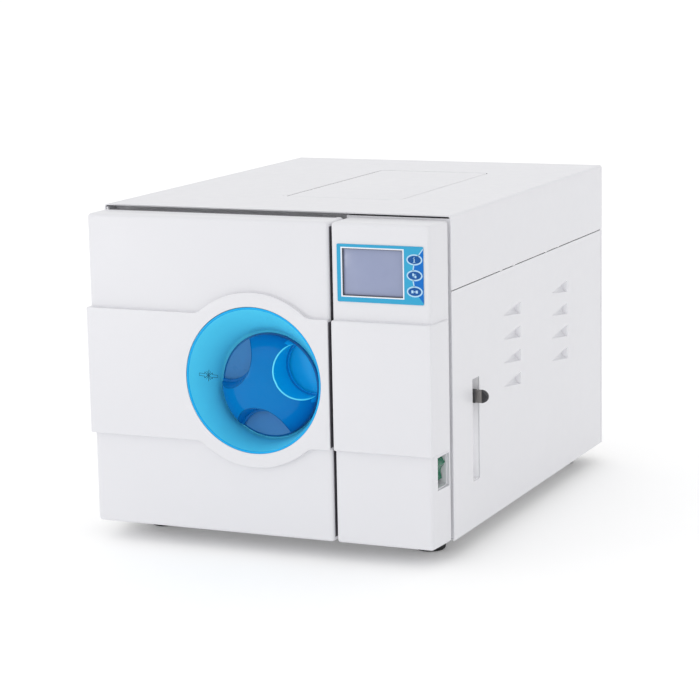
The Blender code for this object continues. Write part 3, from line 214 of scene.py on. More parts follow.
def blue(name, colour, roughness=0.2, coat=0.15, specular=0.25):
    """A glossy moulded blue, kept deep by a weak reflection."""
    return surface(
        name, colour, roughness, 0.0, 0.05, 2400.0, 0.006, 0.08, coat, uneven=0.03, specular=specular
    )


WHITE = (0.745, 0.745, 0.775)
LOOKS = {
    "paint": surface("powder_coat", WHITE, 0.42, 0.0, 0.006, 1400.0, 0.02, 0.22, 0.1, uneven=0.06),
    "shell": surface("moulded_shell", WHITE, 0.38, 0.0, 0.005, 1400.0, 0.01, 0.1, 0.0, uneven=0.02),
    # Painted highlight: a lighter white for the scoops' front-facing end walls.
    "scoop_end_painted_highlight": surface("scoop_end_painted_highlight", (0.95, 0.95, 0.97), 0.4, 0.0, 0.004, 1400.0, 0.01, 0.1),
    # Painted light: a lighter white for the data pocket, offsetting the shade inside it.
    "recess": surface("recess_painted_light", (0.93, 0.93, 0.95), 0.4, 0.0, 0.004, 1400.0, 0.01, 0.1),
    "steel_y": brushed("steel_brushed_y", (0.56, 0.56, 0.57), 0.3, "Y"),
    "steel_x": brushed("steel_brushed_x", (0.58, 0.58, 0.59), 0.28, "X"),
    "steel_z": brushed("steel_brushed_z", (0.55, 0.55, 0.56), 0.32, "Z"),
    "polished": brushed("steel_polished", (0.66, 0.66, 0.67), 0.16, "Y", 3500.0),
    "aluminium": surface(
        "aluminium_cast", (0.62, 0.63, 0.64), 0.45, 1.0, 0.06, 700.0, 0.05, 0.4, edge_wear_and_highlight=0.2
    ),
    "brass": surface("brass_turned", (0.72, 0.52, 0.22), 0.28, 1.0, 0.08, 1500.0, 0.02, 0.3, edge_wear_and_highlight=0.25),
    "black": surface("black_moulding", (0.022, 0.022, 0.026), 0.48, 0.0, 0.2, 1800.0, 0.03, 0.4, edge_wear_and_highlight=0.1),
    "rubber": surface("foot_rubber", (0.018, 0.018, 0.019), 0.8, 0.0, 0.3, 1300.0, 0.06, 0.6, edge_wear_and_highlight=0.06),
    "silicone": surface("silicone_seal", (0.62, 0.12, 0.07), 0.55, 0.0, 0.08, 900.0, 0.03, 0.3, edge_wear_and_highlight=0.1),
    "board": surface("board_mask", (0.012, 0.12, 0.05), 0.4, 0.0, 0.3, 500.0, 0.05, 0.5),
    "wool": surface("mineral_wool", (0.6, 0.56, 0.44), 0.95, 0.0, 0.2, 420.0, 0.9, 1.0),
    "tank": surface("milky_tank", (0.72, 0.78, 0.83), 0.35, 0.0, 0.03, 900.0, 0.03, 0.2, glow=0.3),
    "dish": blue("dish_blue", (0.1, 0.7, 0.98), 0.4, 0.0),
    "dish_rim": blue("dish_rim_blue", (0.0, 0.42, 0.85), 0.3),
    "knob": blue("knob_blue", (0.0, 0.185, 0.52), 0.14, 0.0, 0.14),
    # Painted light: a shaded, greyer copy and a lit copy of the blue seen inside the knob's scallops.
    "knob_painted_shaded": blue("lens_blue_painted_shaded", (0.05, 0.26, 0.56), 0.3, 0.1),
    "knob_painted_lit": blue("floor_blue_painted_lit", (0.0, 0.36, 0.76), 0.25, 0.1),
    # Painted highlight: the cyan of the bright edge on the upper right scallop.
    "knob_rim_highlight": surface(
        "rim_cyan_painted_highlight", (0.12, 0.8, 1.0), 0.2, 0.0, 0.02, 2400.0, 0.004, 0.05, 0.5, uneven=0.03
    ),
    "knob_base": blue("knob_base_blue", (0.0, 0.12, 0.34), 0.25, 0.1),
    "green": surface(
        "rocker_green", (0.0, 0.13, 0.065), 0.25, 0.0, 0.1, 2400.0, 0.006, 0.1, 0.15, specular=0.3
    ),
    "cyan_print": printed("print_cyan", (0.035, 0.37, 0.62)),
    "navy_print": printed("print_blue", (0.0, 0.15, 0.56)),
    "white_print": printed("print_white", (0.86, 0.88, 0.93)),
    "pale_print": printed("print_pale", (0.45, 0.7, 0.9)),
    "ink": printed("print_ink", (0.015, 0.04, 0.08), 0.5, 0.0),
    "key": blue("key_blue", (0.0, 0.085, 0.33), 0.28, 0.1),
    "sleeve": surface("stick_sleeve", (0.2, 0.19, 0.185), 0.35, 0.6, 0.06, 1500.0, 0.02, 0.3, edge_wear_and_highlight=0.1),
}


def screen_material():
    """A grey-lilac liquid-crystal window: faint cells under a smooth front."""
    made = bpy.data.materials.new("display_glass")
    made.use_nodes = True
    tree = made.node_tree
    shader = tree.nodes["Principled BSDF"]
    cells = tree.nodes.new("ShaderNodeTexVoronoi")
    cells.distance = "CHEBYCHEV"
    cells.inputs["Scale"].default_value = 1400.0
    cells.inputs["Randomness"].default_value = 0.0
    coords = tree.nodes.new("ShaderNodeTexCoord")
    tree.links.new(coords.outputs["Object"], cells.inputs["Vector"])
    drift = remap(tree, noise(tree, 16.0, 4.0), 0.0, 1.0)
    base = mix_colours(tree, drift, (0.275, 0.315, 0.47), (0.325, 0.365, 0.52))
    dots = remap(tree, cells.outputs["Distance"], 0.0, 0.12, 0.2, 0.6)
    tree.links.new(mix_colours(tree, dots, base, (0.22, 0.24, 0.42)), shader.inputs["Base Color"])
    tree.links.new(remap(tree, noise(tree, 300.0), 0.16, 0.26), shader.inputs["Roughness"])
    return made


LOOKS["screen"] = screen_material()


# --------------------------------------------------------------------------------- mesh helpers

helpers = bpy.data.collections.new("helpers")
bpy.context.scene.collection.children.link(helpers)


def to_object(name, bm, look=None):
    """A mesh drawn in design millimetres as an object in the frame; with no look it is a cutter."""
    bm.transform(Matrix.Scale(MM, 4) @ Matrix.Translation(SHIFT))
    mesh = bpy.data.meshes.new(name)
    bm.to_mesh(mesh)
    bm.free()
    obj = bpy.data.objects.new(name, mesh)
    if look is None:
        obj.hide_render = True
        obj.display_type = "WIRE"
        helpers.objects.link(obj)
        return obj
    mesh.materials.append(LOOKS[look])
    bpy.context.scene.collection.objects.link(obj)
    return shade(obj)


def shade(obj, angle=35.0):
    obj.data.shade_smooth()
    obj.data.set_sharp_from_angle(angle=math.radians(angle))
    return obj


def box_mesh(low, high):
    low, high = Vector(low), Vector(high)
    bm = bmesh.new()
    bmesh.ops.create_cube(bm, size=1.0)
    bm.transform(Matrix.Translation((low + high) / 2) @ Matrix.Diagonal((*(high - low), 1.0)))
    return bm


def rod_mesh(start, end, radius, end_radius=None, segments=64):
    start, end = Vector(start), Vector(end)
    bm = bmesh.new()
    bmesh.ops.create_cone(
        bm,
        cap_ends=True,
        segments=segments,
        radius1=radius,
        radius2=radius if end_radius is None else end_radius,
        depth=(end - start).length,
    )
    turn = Vector((0, 0, 1)).rotation_difference(end - start).to_matrix().to_4x4()
    bm.transform(Matrix.Translation((start + end) / 2) @ turn)
    return bm


def arc(u, v, radius, first, last, steps):
    """Points along a circle about (u, v), angles in degrees."""
    angles = [math.radians(first + (last - first) * k / steps) for k in range(steps + 1)]
    return [(u + radius * math.cos(a), v + radius * math.sin(a)) for a in angles]


def oval(u, v, half_w, half_h, steps=48, power=1.0):
    points = []
    for k in range(steps):
        a = 2 * math.pi * k / steps
        c, s = math.cos(a), math.sin(a)
        points.append((u + half_w * math.copysign(abs(c) ** power, c), v + half_h * s))
    return points


def rounded(corners, steps=8):
    """A closed outline whose (u, v, radius) corners are turned into arcs."""
    points = []
    for i, (u, v, radius) in enumerate(corners):
        here = Vector((u, v))
        if radius <= 0:
            points.append((u, v))
            continue
        before = (Vector(corners[i - 1][:2]) - here).normalized()
        after = (Vector(corners[(i + 1) % len(corners)][:2]) - here).normalized()
        half = before.angle(after) / 2
        centre = here + (before + after).normalized() * radius / math.sin(half)
        start = here + before * radius / math.tan(half) - centre
        end = here + after * radius / math.tan(half) - centre
        first = math.atan2(start.y, start.x)
        sweep = math.remainder(math.atan2(end.y, end.x) - first, 2 * math.pi)
        for k in range(steps + 1):
            angle = first + sweep * k / steps
            points.append((centre.x + radius * math.cos(angle), centre.y + radius * math.sin(angle)))
    return points


def rect(u0, v0, u1, v1, radius=0.0, steps=8):
    return rounded([(u0, v0, radius), (u1, v0, radius), (u1, v1, radius), (u0, v1, radius)], steps)


AXES = {
    "X": Matrix(((0, 0, 1, 0), (1, 0, 0, 0), (0, 1, 0, 0), (0, 0, 0, 1))),
    "Y": Matrix(((1, 0, 0, 0), (0, 0, 1, 0), (0, 1, 0, 0), (0, 0, 0, 1))),
    "Z": Matrix.Identity(4),
}


def plate_mesh(points, across, near, far):
    """A filled outline with a thickness: (y, z) points across X, (x, z) across Y, (x, y) across Z."""
    bm = bmesh.new()
    face = bm.faces.new([bm.verts.new((u, v, near)) for u, v in points])
    made = bmesh.ops.extrude_face_region(bm, geom=[face])
    top = [v for v in made["geom"] if isinstance(v, bmesh.types.BMVert)]
    bmesh.ops.translate(bm, verts=top, vec=(0, 0, far - near))
    bm.transform(AXES[across])
    bmesh.ops.recalc_face_normals(bm, faces=bm.faces)
    return bm


def lathe_mesh(profile, centre, axis, steps=128, closed=False):
    """A profile of (radius, distance along the axis) pairs spun round the centre."""
    bm = bmesh.new()
    rings = []
    for radius, along in profile:
        if radius < 1e-6:
            rings.append([bm.verts.new((0, 0, along))])
            continue
        rings.append([bm.verts.new((u, v, along)) for u, v in arc(0, 0, radius, 0, 360, steps)[:-1]])
    pairs = list(zip(rings, rings[1:]))
    if closed:
        pairs.append((rings[-1], rings[0]))
    for one, two in pairs:
        for i in range(steps):
            if len(one) == 1:
                bm.faces.new((one[0], two[i], two[i - 1]))
            elif len(two) == 1:
                bm.faces.new((one[i - 1], one[i], two[0]))
            else:
                bm.faces.new((one[i - 1], one[i], two[i], two[i - 1]))
    bm.transform(Matrix.Translation(centre) @ AXES[axis])
    bmesh.ops.recalc_face_normals(bm, faces=bm.faces)
    return bm


def soft_profile(points, radius, steps=4):
    """A lathe profile whose inner corners are rounded."""
    out = [points[0]]
    for i in range(1, len(points) - 1):
        here = Vector(points[i])
        before, after = Vector(points[i - 1]) - here, Vector(points[i + 1]) - here
        reach = min(radius, before.length * 0.45, after.length * 0.45)
        first, last = here + before.normalized() * reach, here + after.normalized() * reach
        for k in range(steps + 1):
            t = k / steps
            p = first * (1 - t) ** 2 + here * 2 * t * (1 - t) + last * t**2
            out.append((p.x, p.y))
    return out + [points[-1]]


def tube_mesh(points, radii, steps=12):
    """A round bead along a line of points, with a radius at each."""
    bm = bmesh.new()
    rings = []
    for i, (here, radius) in enumerate(zip(points, radii)):
        along = (points[min(i + 1, len(points) - 1)] - points[max(i - 1, 0)]).normalized()
        side = along.cross(Vector((0, 1, 0))).normalized()
        up = along.cross(side)
        ring = []
        for k in range(steps):
            angle = math.tau * k / steps
            ring.append(bm.verts.new(here + (side * math.cos(angle) + up * math.sin(angle)) * radius))
        rings.append(ring)
    for one, two in zip(rings, rings[1:]):
        for k in range(steps):
            bm.faces.new((one[k - 1], one[k], two[k], two[k - 1]))
    bm.faces.new(rings[0])
    bm.faces.new(rings[-1])
    bmesh.ops.recalc_face_normals(bm, faces=bm.faces)
    return bm


def merged_mesh(meshes):
    whole = bmesh.new()
    for bm in meshes:
        mesh = bpy.data.meshes.new("piece")
        bm.to_mesh(mesh)
        bm.free()
        whole.from_mesh(mesh)
        bpy.data.meshes.remove(mesh)
    return whole


def boolean(obj, bm, operation, solver="EXACT"):
    made = obj.modifiers.new(operation.title(), "BOOLEAN")
    made.operation = operation
    made.solver = solver
    made.object = to_object(obj.name + "_tool", bm)
    return obj


def cut(obj, *meshes, solver="EXACT"):
    for bm in meshes:
        boolean(obj, bm, "DIFFERENCE", solver)
    return obj


def join(obj, *meshes, solver="EXACT"):
    for bm in meshes:
        boolean(obj, bm, "UNION", solver)
    return obj


def baked(obj):
    """The object's mesh with its modifiers applied, and its cutters removed."""
    bpy.context.view_layer.update()
    graph = bpy.context.evaluated_depsgraph_get()
    mesh = bpy.data.meshes.new_from_object(obj.evaluated_get(graph))
    tools = [m.object for m in obj.modifiers if m.type == "BOOLEAN"]
    obj.modifiers.clear()
    obj.data = mesh
    for tool in tools:
        bpy.data.objects.remove(tool, do_unlink=True)
    return obj


def soft_edges(obj, width, segments=3, angle=35.0):
    """Rounds every edge sharper than the angle; width in millimetres."""
    if obj.modifiers:
        baked(obj)
    bm = bmesh.new()
    bm.from_mesh(obj.data)
    bmesh.ops.remove_doubles(bm, verts=bm.verts, dist=0.01 * MM)
    limit = math.radians(0.6)
    bmesh.ops.dissolve_limit(bm, angle_limit=limit, verts=bm.verts, edges=bm.edges)
    sharp = [e for e in bm.edges if len(e.link_faces) == 2 and e.calc_face_angle() > math.radians(angle)]
    bmesh.ops.bevel(
        bm,
        geom=sharp,
        offset=width * MM,
        segments=segments,
        profile=0.5,
        affect="EDGES",
        clamp_overlap=True,
    )
    bm.to_mesh(obj.data)
    bm.free()
    shade(obj)
    flat = obj.modifiers.new("even_panels", "WEIGHTED_NORMAL")
    flat.keep_sharp = True
    return obj


def stands_for(obj, node, *more):
    """The piece takes the place of these CAD nodes, on their body."""
    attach(obj, BODY[node])
    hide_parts(node, *more)
    return obj


def goes_with(obj, node):
    """A small extra piece that rides with a CAD node."""
    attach(obj, BODY[node])
    return obj


def refined(node, look, width=0.4, segments=2, extra=(), holes=()):
    """The CAD node's own shape with rounded edges, and any extra shapes joined or cut."""
    source = frame["nodes"][node].data
    bm = bmesh.new()
    bm.from_mesh(source)
    bm.transform(Matrix.Translation(-SHIFT) @ Matrix.Scale(1 / MM, 4))
    bmesh.ops.remove_doubles(bm, verts=bm.verts, dist=0.005)
    obj = to_object(node + "_fine", bm, look)
    join(obj, *extra)
    cut(obj, *holes)
    return stands_for(soft_edges(obj, width, segments), node)


def soft_mesh(bm, width, segments=4):
    """Rounds the sharp edges of a plain shape before it is used."""
    sharp = [e for e in bm.edges if len(e.link_faces) == 2 and e.calc_face_angle() > math.radians(35)]
    bmesh.ops.bevel(
        bm, geom=sharp, offset=width, segments=segments, profile=0.5, affect="EDGES", clamp_overlap=True
    )
    return bm


# ----------------------------------------------------------------------------------------- case


def build_cover():
    """Folded sheet over the top, with its stiff lip, the tank's opening and the small fill mark."""
    low, high = case_low, case_high
    seam, top = low.z, high.z
    outer = [(-HALF_W, seam, 0), (-HALF_W, top, COVER_BEND), (HALF_W, top, COVER_BEND)]
    outer += [(HALF_W, seam, 0), (HALF_W - SHEET, seam, 0)]
    bend = COVER_BEND - SHEET
    outer += [(HALF_W - SHEET, top - SHEET, bend), (SHEET - HALF_W, top - SHEET, bend)]
    outer += [(SHEET - HALF_W, seam, 0)]
    cover = to_object("cover_shell", plate_mesh(rounded(outer, 10), "Y", low.y, high.y), "paint")
    reach = HALF_W - COVER_BEND
    join(cover, box_mesh((-reach, low.y, top - 1.6), (reach, low.y + SHEET, top - SHEET + 0.5)))
    lid_low, lid_high = box("tank_lid")
    edges = (lid_low.x - 1, lid_low.y - 1, lid_high.x + 1, lid_high.y + 1)
    mark = rod_mesh((-49.6, 193.9, top - 0.7), (-49.6, 193.9, top + 1), 1.6, segments=32)
    cut(cover, plate_mesh(rect(*edges, 8.0), "Z", top - 6, top + 5), mark)
    stands_for(soft_edges(cover, 0.35, 3), "top_cover")
    inset = (lid_low.x + 0.6, lid_low.y + 0.6, lid_high.x - 0.6, lid_high.y - 0.6)
    lid = plate_mesh(rect(*inset, 6.4, 12), "Z", top - 1.2, top)
    lid = to_object("lid_sheet", soft_mesh(lid, 0.7, 4), "paint")
    plug = box("tank_lid")[0]
    far = (lid_high.x - 10, lid_high.y - 10, top - 1)
    join(lid, box_mesh((lid_low.x + 10, lid_low.y + 10, plug.z), far))
    stands_for(baked(lid), "tank_lid")
    shade(lid)
    rim = box("water_tank")[1].z
    outer = (lid_low.x - 3, lid_low.y - 3, lid_high.x + 3, lid_high.y + 3)
    inner = (lid_low.x + 3, lid_low.y + 3, lid_high.x - 3, lid_high.y - 3)
    seal = to_object("lid_gasket", plate_mesh(rect(*outer, 9.0), "Z", rim - 0.2, rim), "seal_and_shadow")
    cut(seal, plate_mesh(rect(*inner, 5.0), "Z", rim - 3, rim + 3))
    goes_with(baked(seal), "water_tank")
    # A dark ring just under the lid's edge: painted shadow in the gap round the lid.
    outer = (lid_low.x - 0.9, lid_low.y - 0.9, lid_high.x + 0.9, lid_high.y + 0.9)
    inner = (lid_low.x - 0.05, lid_low.y - 0.05, lid_high.x + 0.05, lid_high.y + 0.05)
    line = to_object("lid_gap_shadow", plate_mesh(rect(*outer, 7.9), "Z", top - 1.4, top - 0.35), "seal_and_shadow")
    cut(line, plate_mesh(rect(*inner, 7.1), "Z", top - 9, top + 9))
    goes_with(baked(line), "water_tank")


def vent_cones(side, extra):
    scoops = []
    for start in (case_low.y + s for s in VENT_OFFSETS):
        for row in range(VENT_ROWS):
            z = VENT_LOW + row * VENT_PITCH
            first = (side * HALF_W, start - extra, z)
            last = (side * HALF_W, start + VENT_L + extra, z)
            scoops.append(rod_mesh(first, last, 1.0 + extra, VENT_R + extra, 48))
    return scoops


def build_side(side):
    """Side panel with inward scoops, a rolled edge and, on the right, the data recess's opening."""
    node = "side_panel_right" if side > 0 else "side_panel_left"
    low, high = box(node)
    low_z = low.z
    face, back = side * HALF_W, side * (HALF_W - SHEET)
    sheet = plate_mesh(rect(low.y, low_z, high.y, high.z), "X", min(face, back), max(face, back))
    panel = to_object(node + "_sheet", sheet, "paint")
    join(panel, *vent_cones(side, SHEET))
    cut(panel, *vent_cones(side, 0.0))
    far = sorted((face, face + side * 20))
    cut(panel, box_mesh((far[0], low.y - 9, -9), (far[1], high.y + 9, high.z + 60)))
    groove = sorted((face - side * 0.7, face + side * 2))
    cut(panel, box_mesh((groove[0], high.y - 7.0, low_z - 1), (groove[1], high.y - 6.1, high.z + 1)))
    if side > 0:
        slot_low, slot_high = 85.0, 217.0
        cut(panel, plate_mesh(rect(124, slot_low, 148, slot_high, 1.2), "X", back - 9, face + 9))
    soft_edges(panel, 0.3, 2)
    # Painted highlight: the scoops' end walls that face the front get the lighter white.
    panel.data.materials.append(LOOKS["scoop_end_painted_highlight"])
    ends = [low.y + s + VENT_L for s in VENT_OFFSETS]
    for face in panel.data.polygons:
        place = face.center / MM - SHIFT
        deep = abs(place.x) < HALF_W - 0.4 and place.z > VENT_LOW - 10 and face.normal.y < -0.9
        face.material_index = int(deep and any(abs(place.y - end) < 1.0 for end in ends))
    stands_for(panel, node)


def build_feet():
    for node in ("foot_front_left", "foot_front_right", "foot_rear_left", "foot_rear_right"):
        low, high = box(node)
        middle = (low + high) / 2
        r = (high.x - low.x) / 2
        profile = [(0, high.z), (r - 2, high.z), (r, high.z - 2.5), (r - 0.6, 16), (r - 1.6, 15)]
        profile += [(r - 1.8, 12), (r - 1.0, 11), (r - 3, 1.5), (r - 5, low.z), (7, low.z), (6, 3), (0, 3)]
        shape = lathe_mesh(soft_profile(profile, 0.8), (middle.x, middle.y, 0), "Z", 96)
        stands_for(to_object(node + "_rubber", shape, "rubber"), node)


# --------------------------------------------------------------------------------- door and dish


def band_outline(left, right):
    """The raised band with its round bulge about the dish, blended by fillets."""
    middle = (BAND_LOW + BAND_TOP) / 2
    rise = (BAND_TOP - BAND_LOW) / 2 + BULGE_FILLET
    dx = math.sqrt((BULGE_R + BULGE_FILLET) ** 2 - rise**2)
    lean = math.degrees(math.atan2(rise, dx))
    x, fillet = DISH_X, BULGE_FILLET
    points = [(left, BAND_LOW)]
    points += arc(x - dx, middle - rise, fillet, 90, lean, 10)
    points += arc(x, middle, BULGE_R, 180 + lean, 360 - lean, 60)
    points += arc(x + dx, middle - rise, fillet, 180 - lean, 90, 10)
    points += [(right, BAND_LOW), (right, BAND_TOP)]
    points += arc(x + dx, middle + rise, fillet, 270, 180 + lean, 10)
    points += arc(x, middle, BULGE_R, lean, 180 - lean, 60)
    points += arc(x - dx, middle + rise, fillet, -lean, -90, 10)
    return points + [(left, BAND_TOP)]


def build_door():
    """Moulded door front: soft edges, raised band with its bulge, and the dish's round hole."""
    low, high = (DOOR_LEFT, 0, FRONT_LOW), (DOOR_RIGHT, door_high.y, FRONT_TOP)
    door = to_object("door_shell", soft_mesh(box_mesh(low, high), EDGE, 6), "shell")
    outline = band_outline(door_low.x, DOOR_RIGHT - GAP)
    band = plate_mesh(outline, "Y", -BAND_RAISE, door_high.y / 2)
    join(door, soft_mesh(band, 2.2, 5), solver="MANIFOLD")
    inner = (DOOR_LEFT + SHELL, SHELL, FRONT_LOW + SHELL)
    outer = (DOOR_RIGHT - SHELL, door_high.y + 5, FRONT_TOP - SHELL)
    cut(door, box_mesh(inner, outer), solver="MANIFOLD")
    hole = rod_mesh((DISH_X, -BAND_RAISE - 5, DISH_Z), (DISH_X, 11, DISH_Z), DISH_R + GAP, segments=192)
    cut(door, hole, solver="MANIFOLD")
    notches = []
    for node in ("hinge_bracket_lower", "hinge_bracket_upper"):
        bracket_low, bracket_high = box(node)
        near = (DOOR_LEFT - 10, bracket_low.y - 6.5, bracket_low.z - 4)
        notches.append(box_mesh(near, (PIVOT[0] + 18, 90, bracket_high.z + 4)))
    cut(door, *notches, solver="MANIFOLD")
    baked(door)
    stands_for(shade(door, 28), "door_cover")
    # Dark strips of painted shadow in the door's gaps: down its right edge, behind the band's end, and over
    # its top rear edge.
    side = SHADOW_STRIP_LIFT + DOOR_RIGHT
    strips = [box_mesh((DOOR_RIGHT, EDGE, FRONT_LOW + 6), (side, door_high.y - EDGE, FRONT_TOP - 6))]
    strips.append(box_mesh((DOOR_RIGHT - GAP, 2.4 - BAND_RAISE, BAND_LOW + 3), (side, EDGE, BAND_TOP - 3)))
    y, z = door_high.y - EDGE, FRONT_TOP - EDGE
    top = [(y - SHADOW_STRIP_DEPTH, FRONT_TOP + SHADOW_STRIP_LIFT)] + arc(y, z, EDGE + SHADOW_STRIP_LIFT, 90, 20, 8)
    top += arc(y, z, EDGE - 0.2, 20, 90, 8) + [(y - SHADOW_STRIP_DEPTH, FRONT_TOP - 0.2)]
    strips.append(plate_mesh(top, "X", DOOR_LEFT + 8, DOOR_RIGHT - 8))
    goes_with(to_object("door_gap_shadow", merged_mesh(strips), "seal_and_shadow"), "door_cover")


LINER_FRONT = box("dish_liner")[0].y
WALL = 2.5
BACK_R = KNOB_R + 2.2
TAPER = (DISH_R - WALL - BACK_R) / (DISH_FLOOR + BAND_RAISE)
LEAN = (DISH_Z - KNOB_Z) / (DISH_FLOOR + BAND_RAISE)


def leaned(bm):
    """Slides each slice down with its depth, from the dish's centre to the knob's."""
    for vert in bm.verts:
        vert.co.z -= LEAN * (vert.co.y + BAND_RAISE)
    return bm


def build_dish():
    """The leaning dish with its brighter rim and the printed mark on its left wall."""
    front, floor = LINER_FRONT, DISH_FLOOR
    inner = DISH_R - WALL
    rim = [(DISH_R, front + 1.0), (DISH_R - 0.3, front + 0.3), (DISH_R - 0.9, front)]
    rim += [(inner + 0.7, front), (inner + 0.1, front + 0.4), (inner - 0.3, front + 1.4)]
    wall = [(inner - TAPER * (y - front), y) for y in (2.0, 12.0, 24.0, 36.0, 44.0)]
    bowl = [(BACK_R + 1.5, floor - 2.4), (BACK_R + 0.4, floor - 0.7), (BACK_R - 1.2, floor)]
    back = [(9, floor), (9, floor + WALL), (BACK_R + WALL, floor + WALL)]
    shape = lathe_mesh(rim + wall + bowl + back, (DISH_X, 0, DISH_Z), "Y", 192, closed=True)
    for face in shape.faces:
        face.material_index = int(face.calc_center_median().y < front + 2.6)
    dish = to_object("dish_bowl", leaned(shape), "dish")
    dish.data.materials.append(LOOKS["dish_rim"])
    stands_for(dish, "dish_liner")

    def on_wall(depth, rise, lift):
        radius = inner - TAPER * (depth - front) - lift
        angle = math.pi - rise / radius
        x, z = DISH_X + radius * math.cos(angle), DISH_Z + radius * math.sin(angle)
        return x, depth, z - LEAN * (depth + BAND_RAISE)

    def stroke(start, end, width):
        start, end = Vector(start), Vector(end)
        side = (end - start).orthogonal().normalized() * width / 2
        made = bmesh.new()
        for lift in (0.02, 0.14):
            corners = (start - side, end - side, end + side, start + side)
            made.verts.ensure_lookup_table()
            for corner in corners:
                made.verts.new(on_wall(corner.x, corner.y, lift))
        made.verts.ensure_lookup_table()
        v = made.verts
        for quad in ((0, 1, 2, 3), (4, 7, 6, 5), (0, 4, 5, 1), (1, 5, 6, 2), (2, 6, 7, 3), (3, 7, 4, 0)):
            made.faces.new([v[i] for i in quad])
        bmesh.ops.recalc_face_normals(made, faces=made.faces)
        return made

    middle, rise = 26.0, 5.0
    strokes = [stroke((middle, rise - 7.5), (middle, rise + 7.5), 0.55)]
    for way in (-1, 1):
        tip, shoulder, tail = middle + way * 1.2, middle + way * 6.0, middle + way * 14.5
        for up in (-1, 1):
            strokes.append(stroke((tip, rise), (shoulder, rise + up * 4.0), 0.5))
            strokes.append(stroke((shoulder, rise + up * 4.0), (shoulder, rise + up * 1.6), 0.45))
            strokes.append(stroke((shoulder, rise + up * 1.6), (tail, rise + up * 1.6), 0.45))
            strokes.append(stroke((middle, rise), (middle + way * 3.2, rise + up * 5.4), 0.4))
        strokes.append(stroke((tail, rise - 1.6), (tail, rise + 1.6), 0.4))
    mark = to_object("dish_mark", merged_mesh(strokes), "ink")
    goes_with(mark, "dish_liner")


def scallop_centre(k):
    angle = math.radians(SCALLOP_FIRST + 120 * k)
    return DISH_X + SCALLOP_OUT * math.cos(angle), KNOB_Z + SCALLOP_OUT * math.sin(angle)


def build_knob():
    """The domed grip with three scallops, over a round base whose face shows inside them; painted light
    gives that face a lit copy of the blue in the upper right scallop and a shaded, greyer copy in the other
    two.
    """
    low, high = box("knob_base")
    face, back = low.y, high.y
    rim = [(KNOB_R, back), (KNOB_R, face + 1.0), (KNOB_R - 0.3, face + 0.3), (KNOB_R - 1.0, face)]
    floor = [(KNOB_R - 2.2, face), (KNOB_R - 2.6, face + 0.5), (KNOB_R - 5, face + 1.1), (0, face + 1.1)]
    shape = lathe_mesh([(0, back)] + rim + floor, (DISH_X, 0, KNOB_Z), "Y", 180)
    painted_lit_side = math.radians(SCALLOP_FIRST - 120)
    for piece in shape.faces:
        middle = piece.calc_center_median()
        away = Vector((middle.x - DISH_X, 0, middle.z - KNOB_Z))
        if middle.y > face + 2 or away.length > KNOB_R - 2.4:
            continue
        angle = math.remainder(math.atan2(away.z, away.x) - painted_lit_side, 2 * math.pi)
        # Painted light: faces towards the upper right scallop get the lit copy, the others the shaded copy.
        piece.material_index = 1 if abs(angle) > 1.05 else 2
    base = to_object("knob_disc", shape, "knob_base")
    base.data.materials.append(LOOKS["knob_painted_shaded"])
    base.data.materials.append(LOOKS["knob_painted_lit"])
    stands_for(base, "knob_base")

    low, high = box("knob_grip")
    back = high.y
    profile = [(0, back), (GRIP_R - 0.6, back), (GRIP_R, back - 0.6)]
    for k in range(1, 33):
        angle = math.radians(k * 90 / 32)
        radius = GRIP_R * max(math.cos(angle), 0.0) ** DOME_SIDE if k < 32 else 0.0
        profile.append((radius, back - 0.6 - (GRIP_H - 0.6) * math.sin(angle) ** DOME_FRONT))
    grip = to_object("knob_dome", lathe_mesh(profile, (DISH_X, 0, KNOB_Z), "Y", 192), "knob")
    for k in range(3):
        x, z = scallop_centre(k)
        reach = SCALLOP_R + SCALLOP_FLARE
        ledge = back - 4.0
        cut(grip, rod_mesh((x, ledge, z), (x, back - GRIP_H - 3, z), SCALLOP_R + 1, reach, 144))
        cut(grip, rod_mesh((x, back + 3, z), (x, ledge - 2, z), SCALLOP_R - 2.2, SCALLOP_R - 1.6, 144))
    baked(grip)
    grip.data.materials.append(LOOKS["knob_painted_lit"])
    # Painted light: the upper right scallop's walls get the lit copy of the blue.
    x, z = scallop_centre(2)
    for piece in grip.data.polygons:
        place = piece.center / MM - SHIFT
        reach = math.hypot(place.x - x, place.z - z)
        piece.material_index = int(reach < SCALLOP_R + SCALLOP_FLARE and piece.normal.y > -0.5)
    stands_for(shade(grip, 30), "knob_grip")
    build_scoop_rims(back)


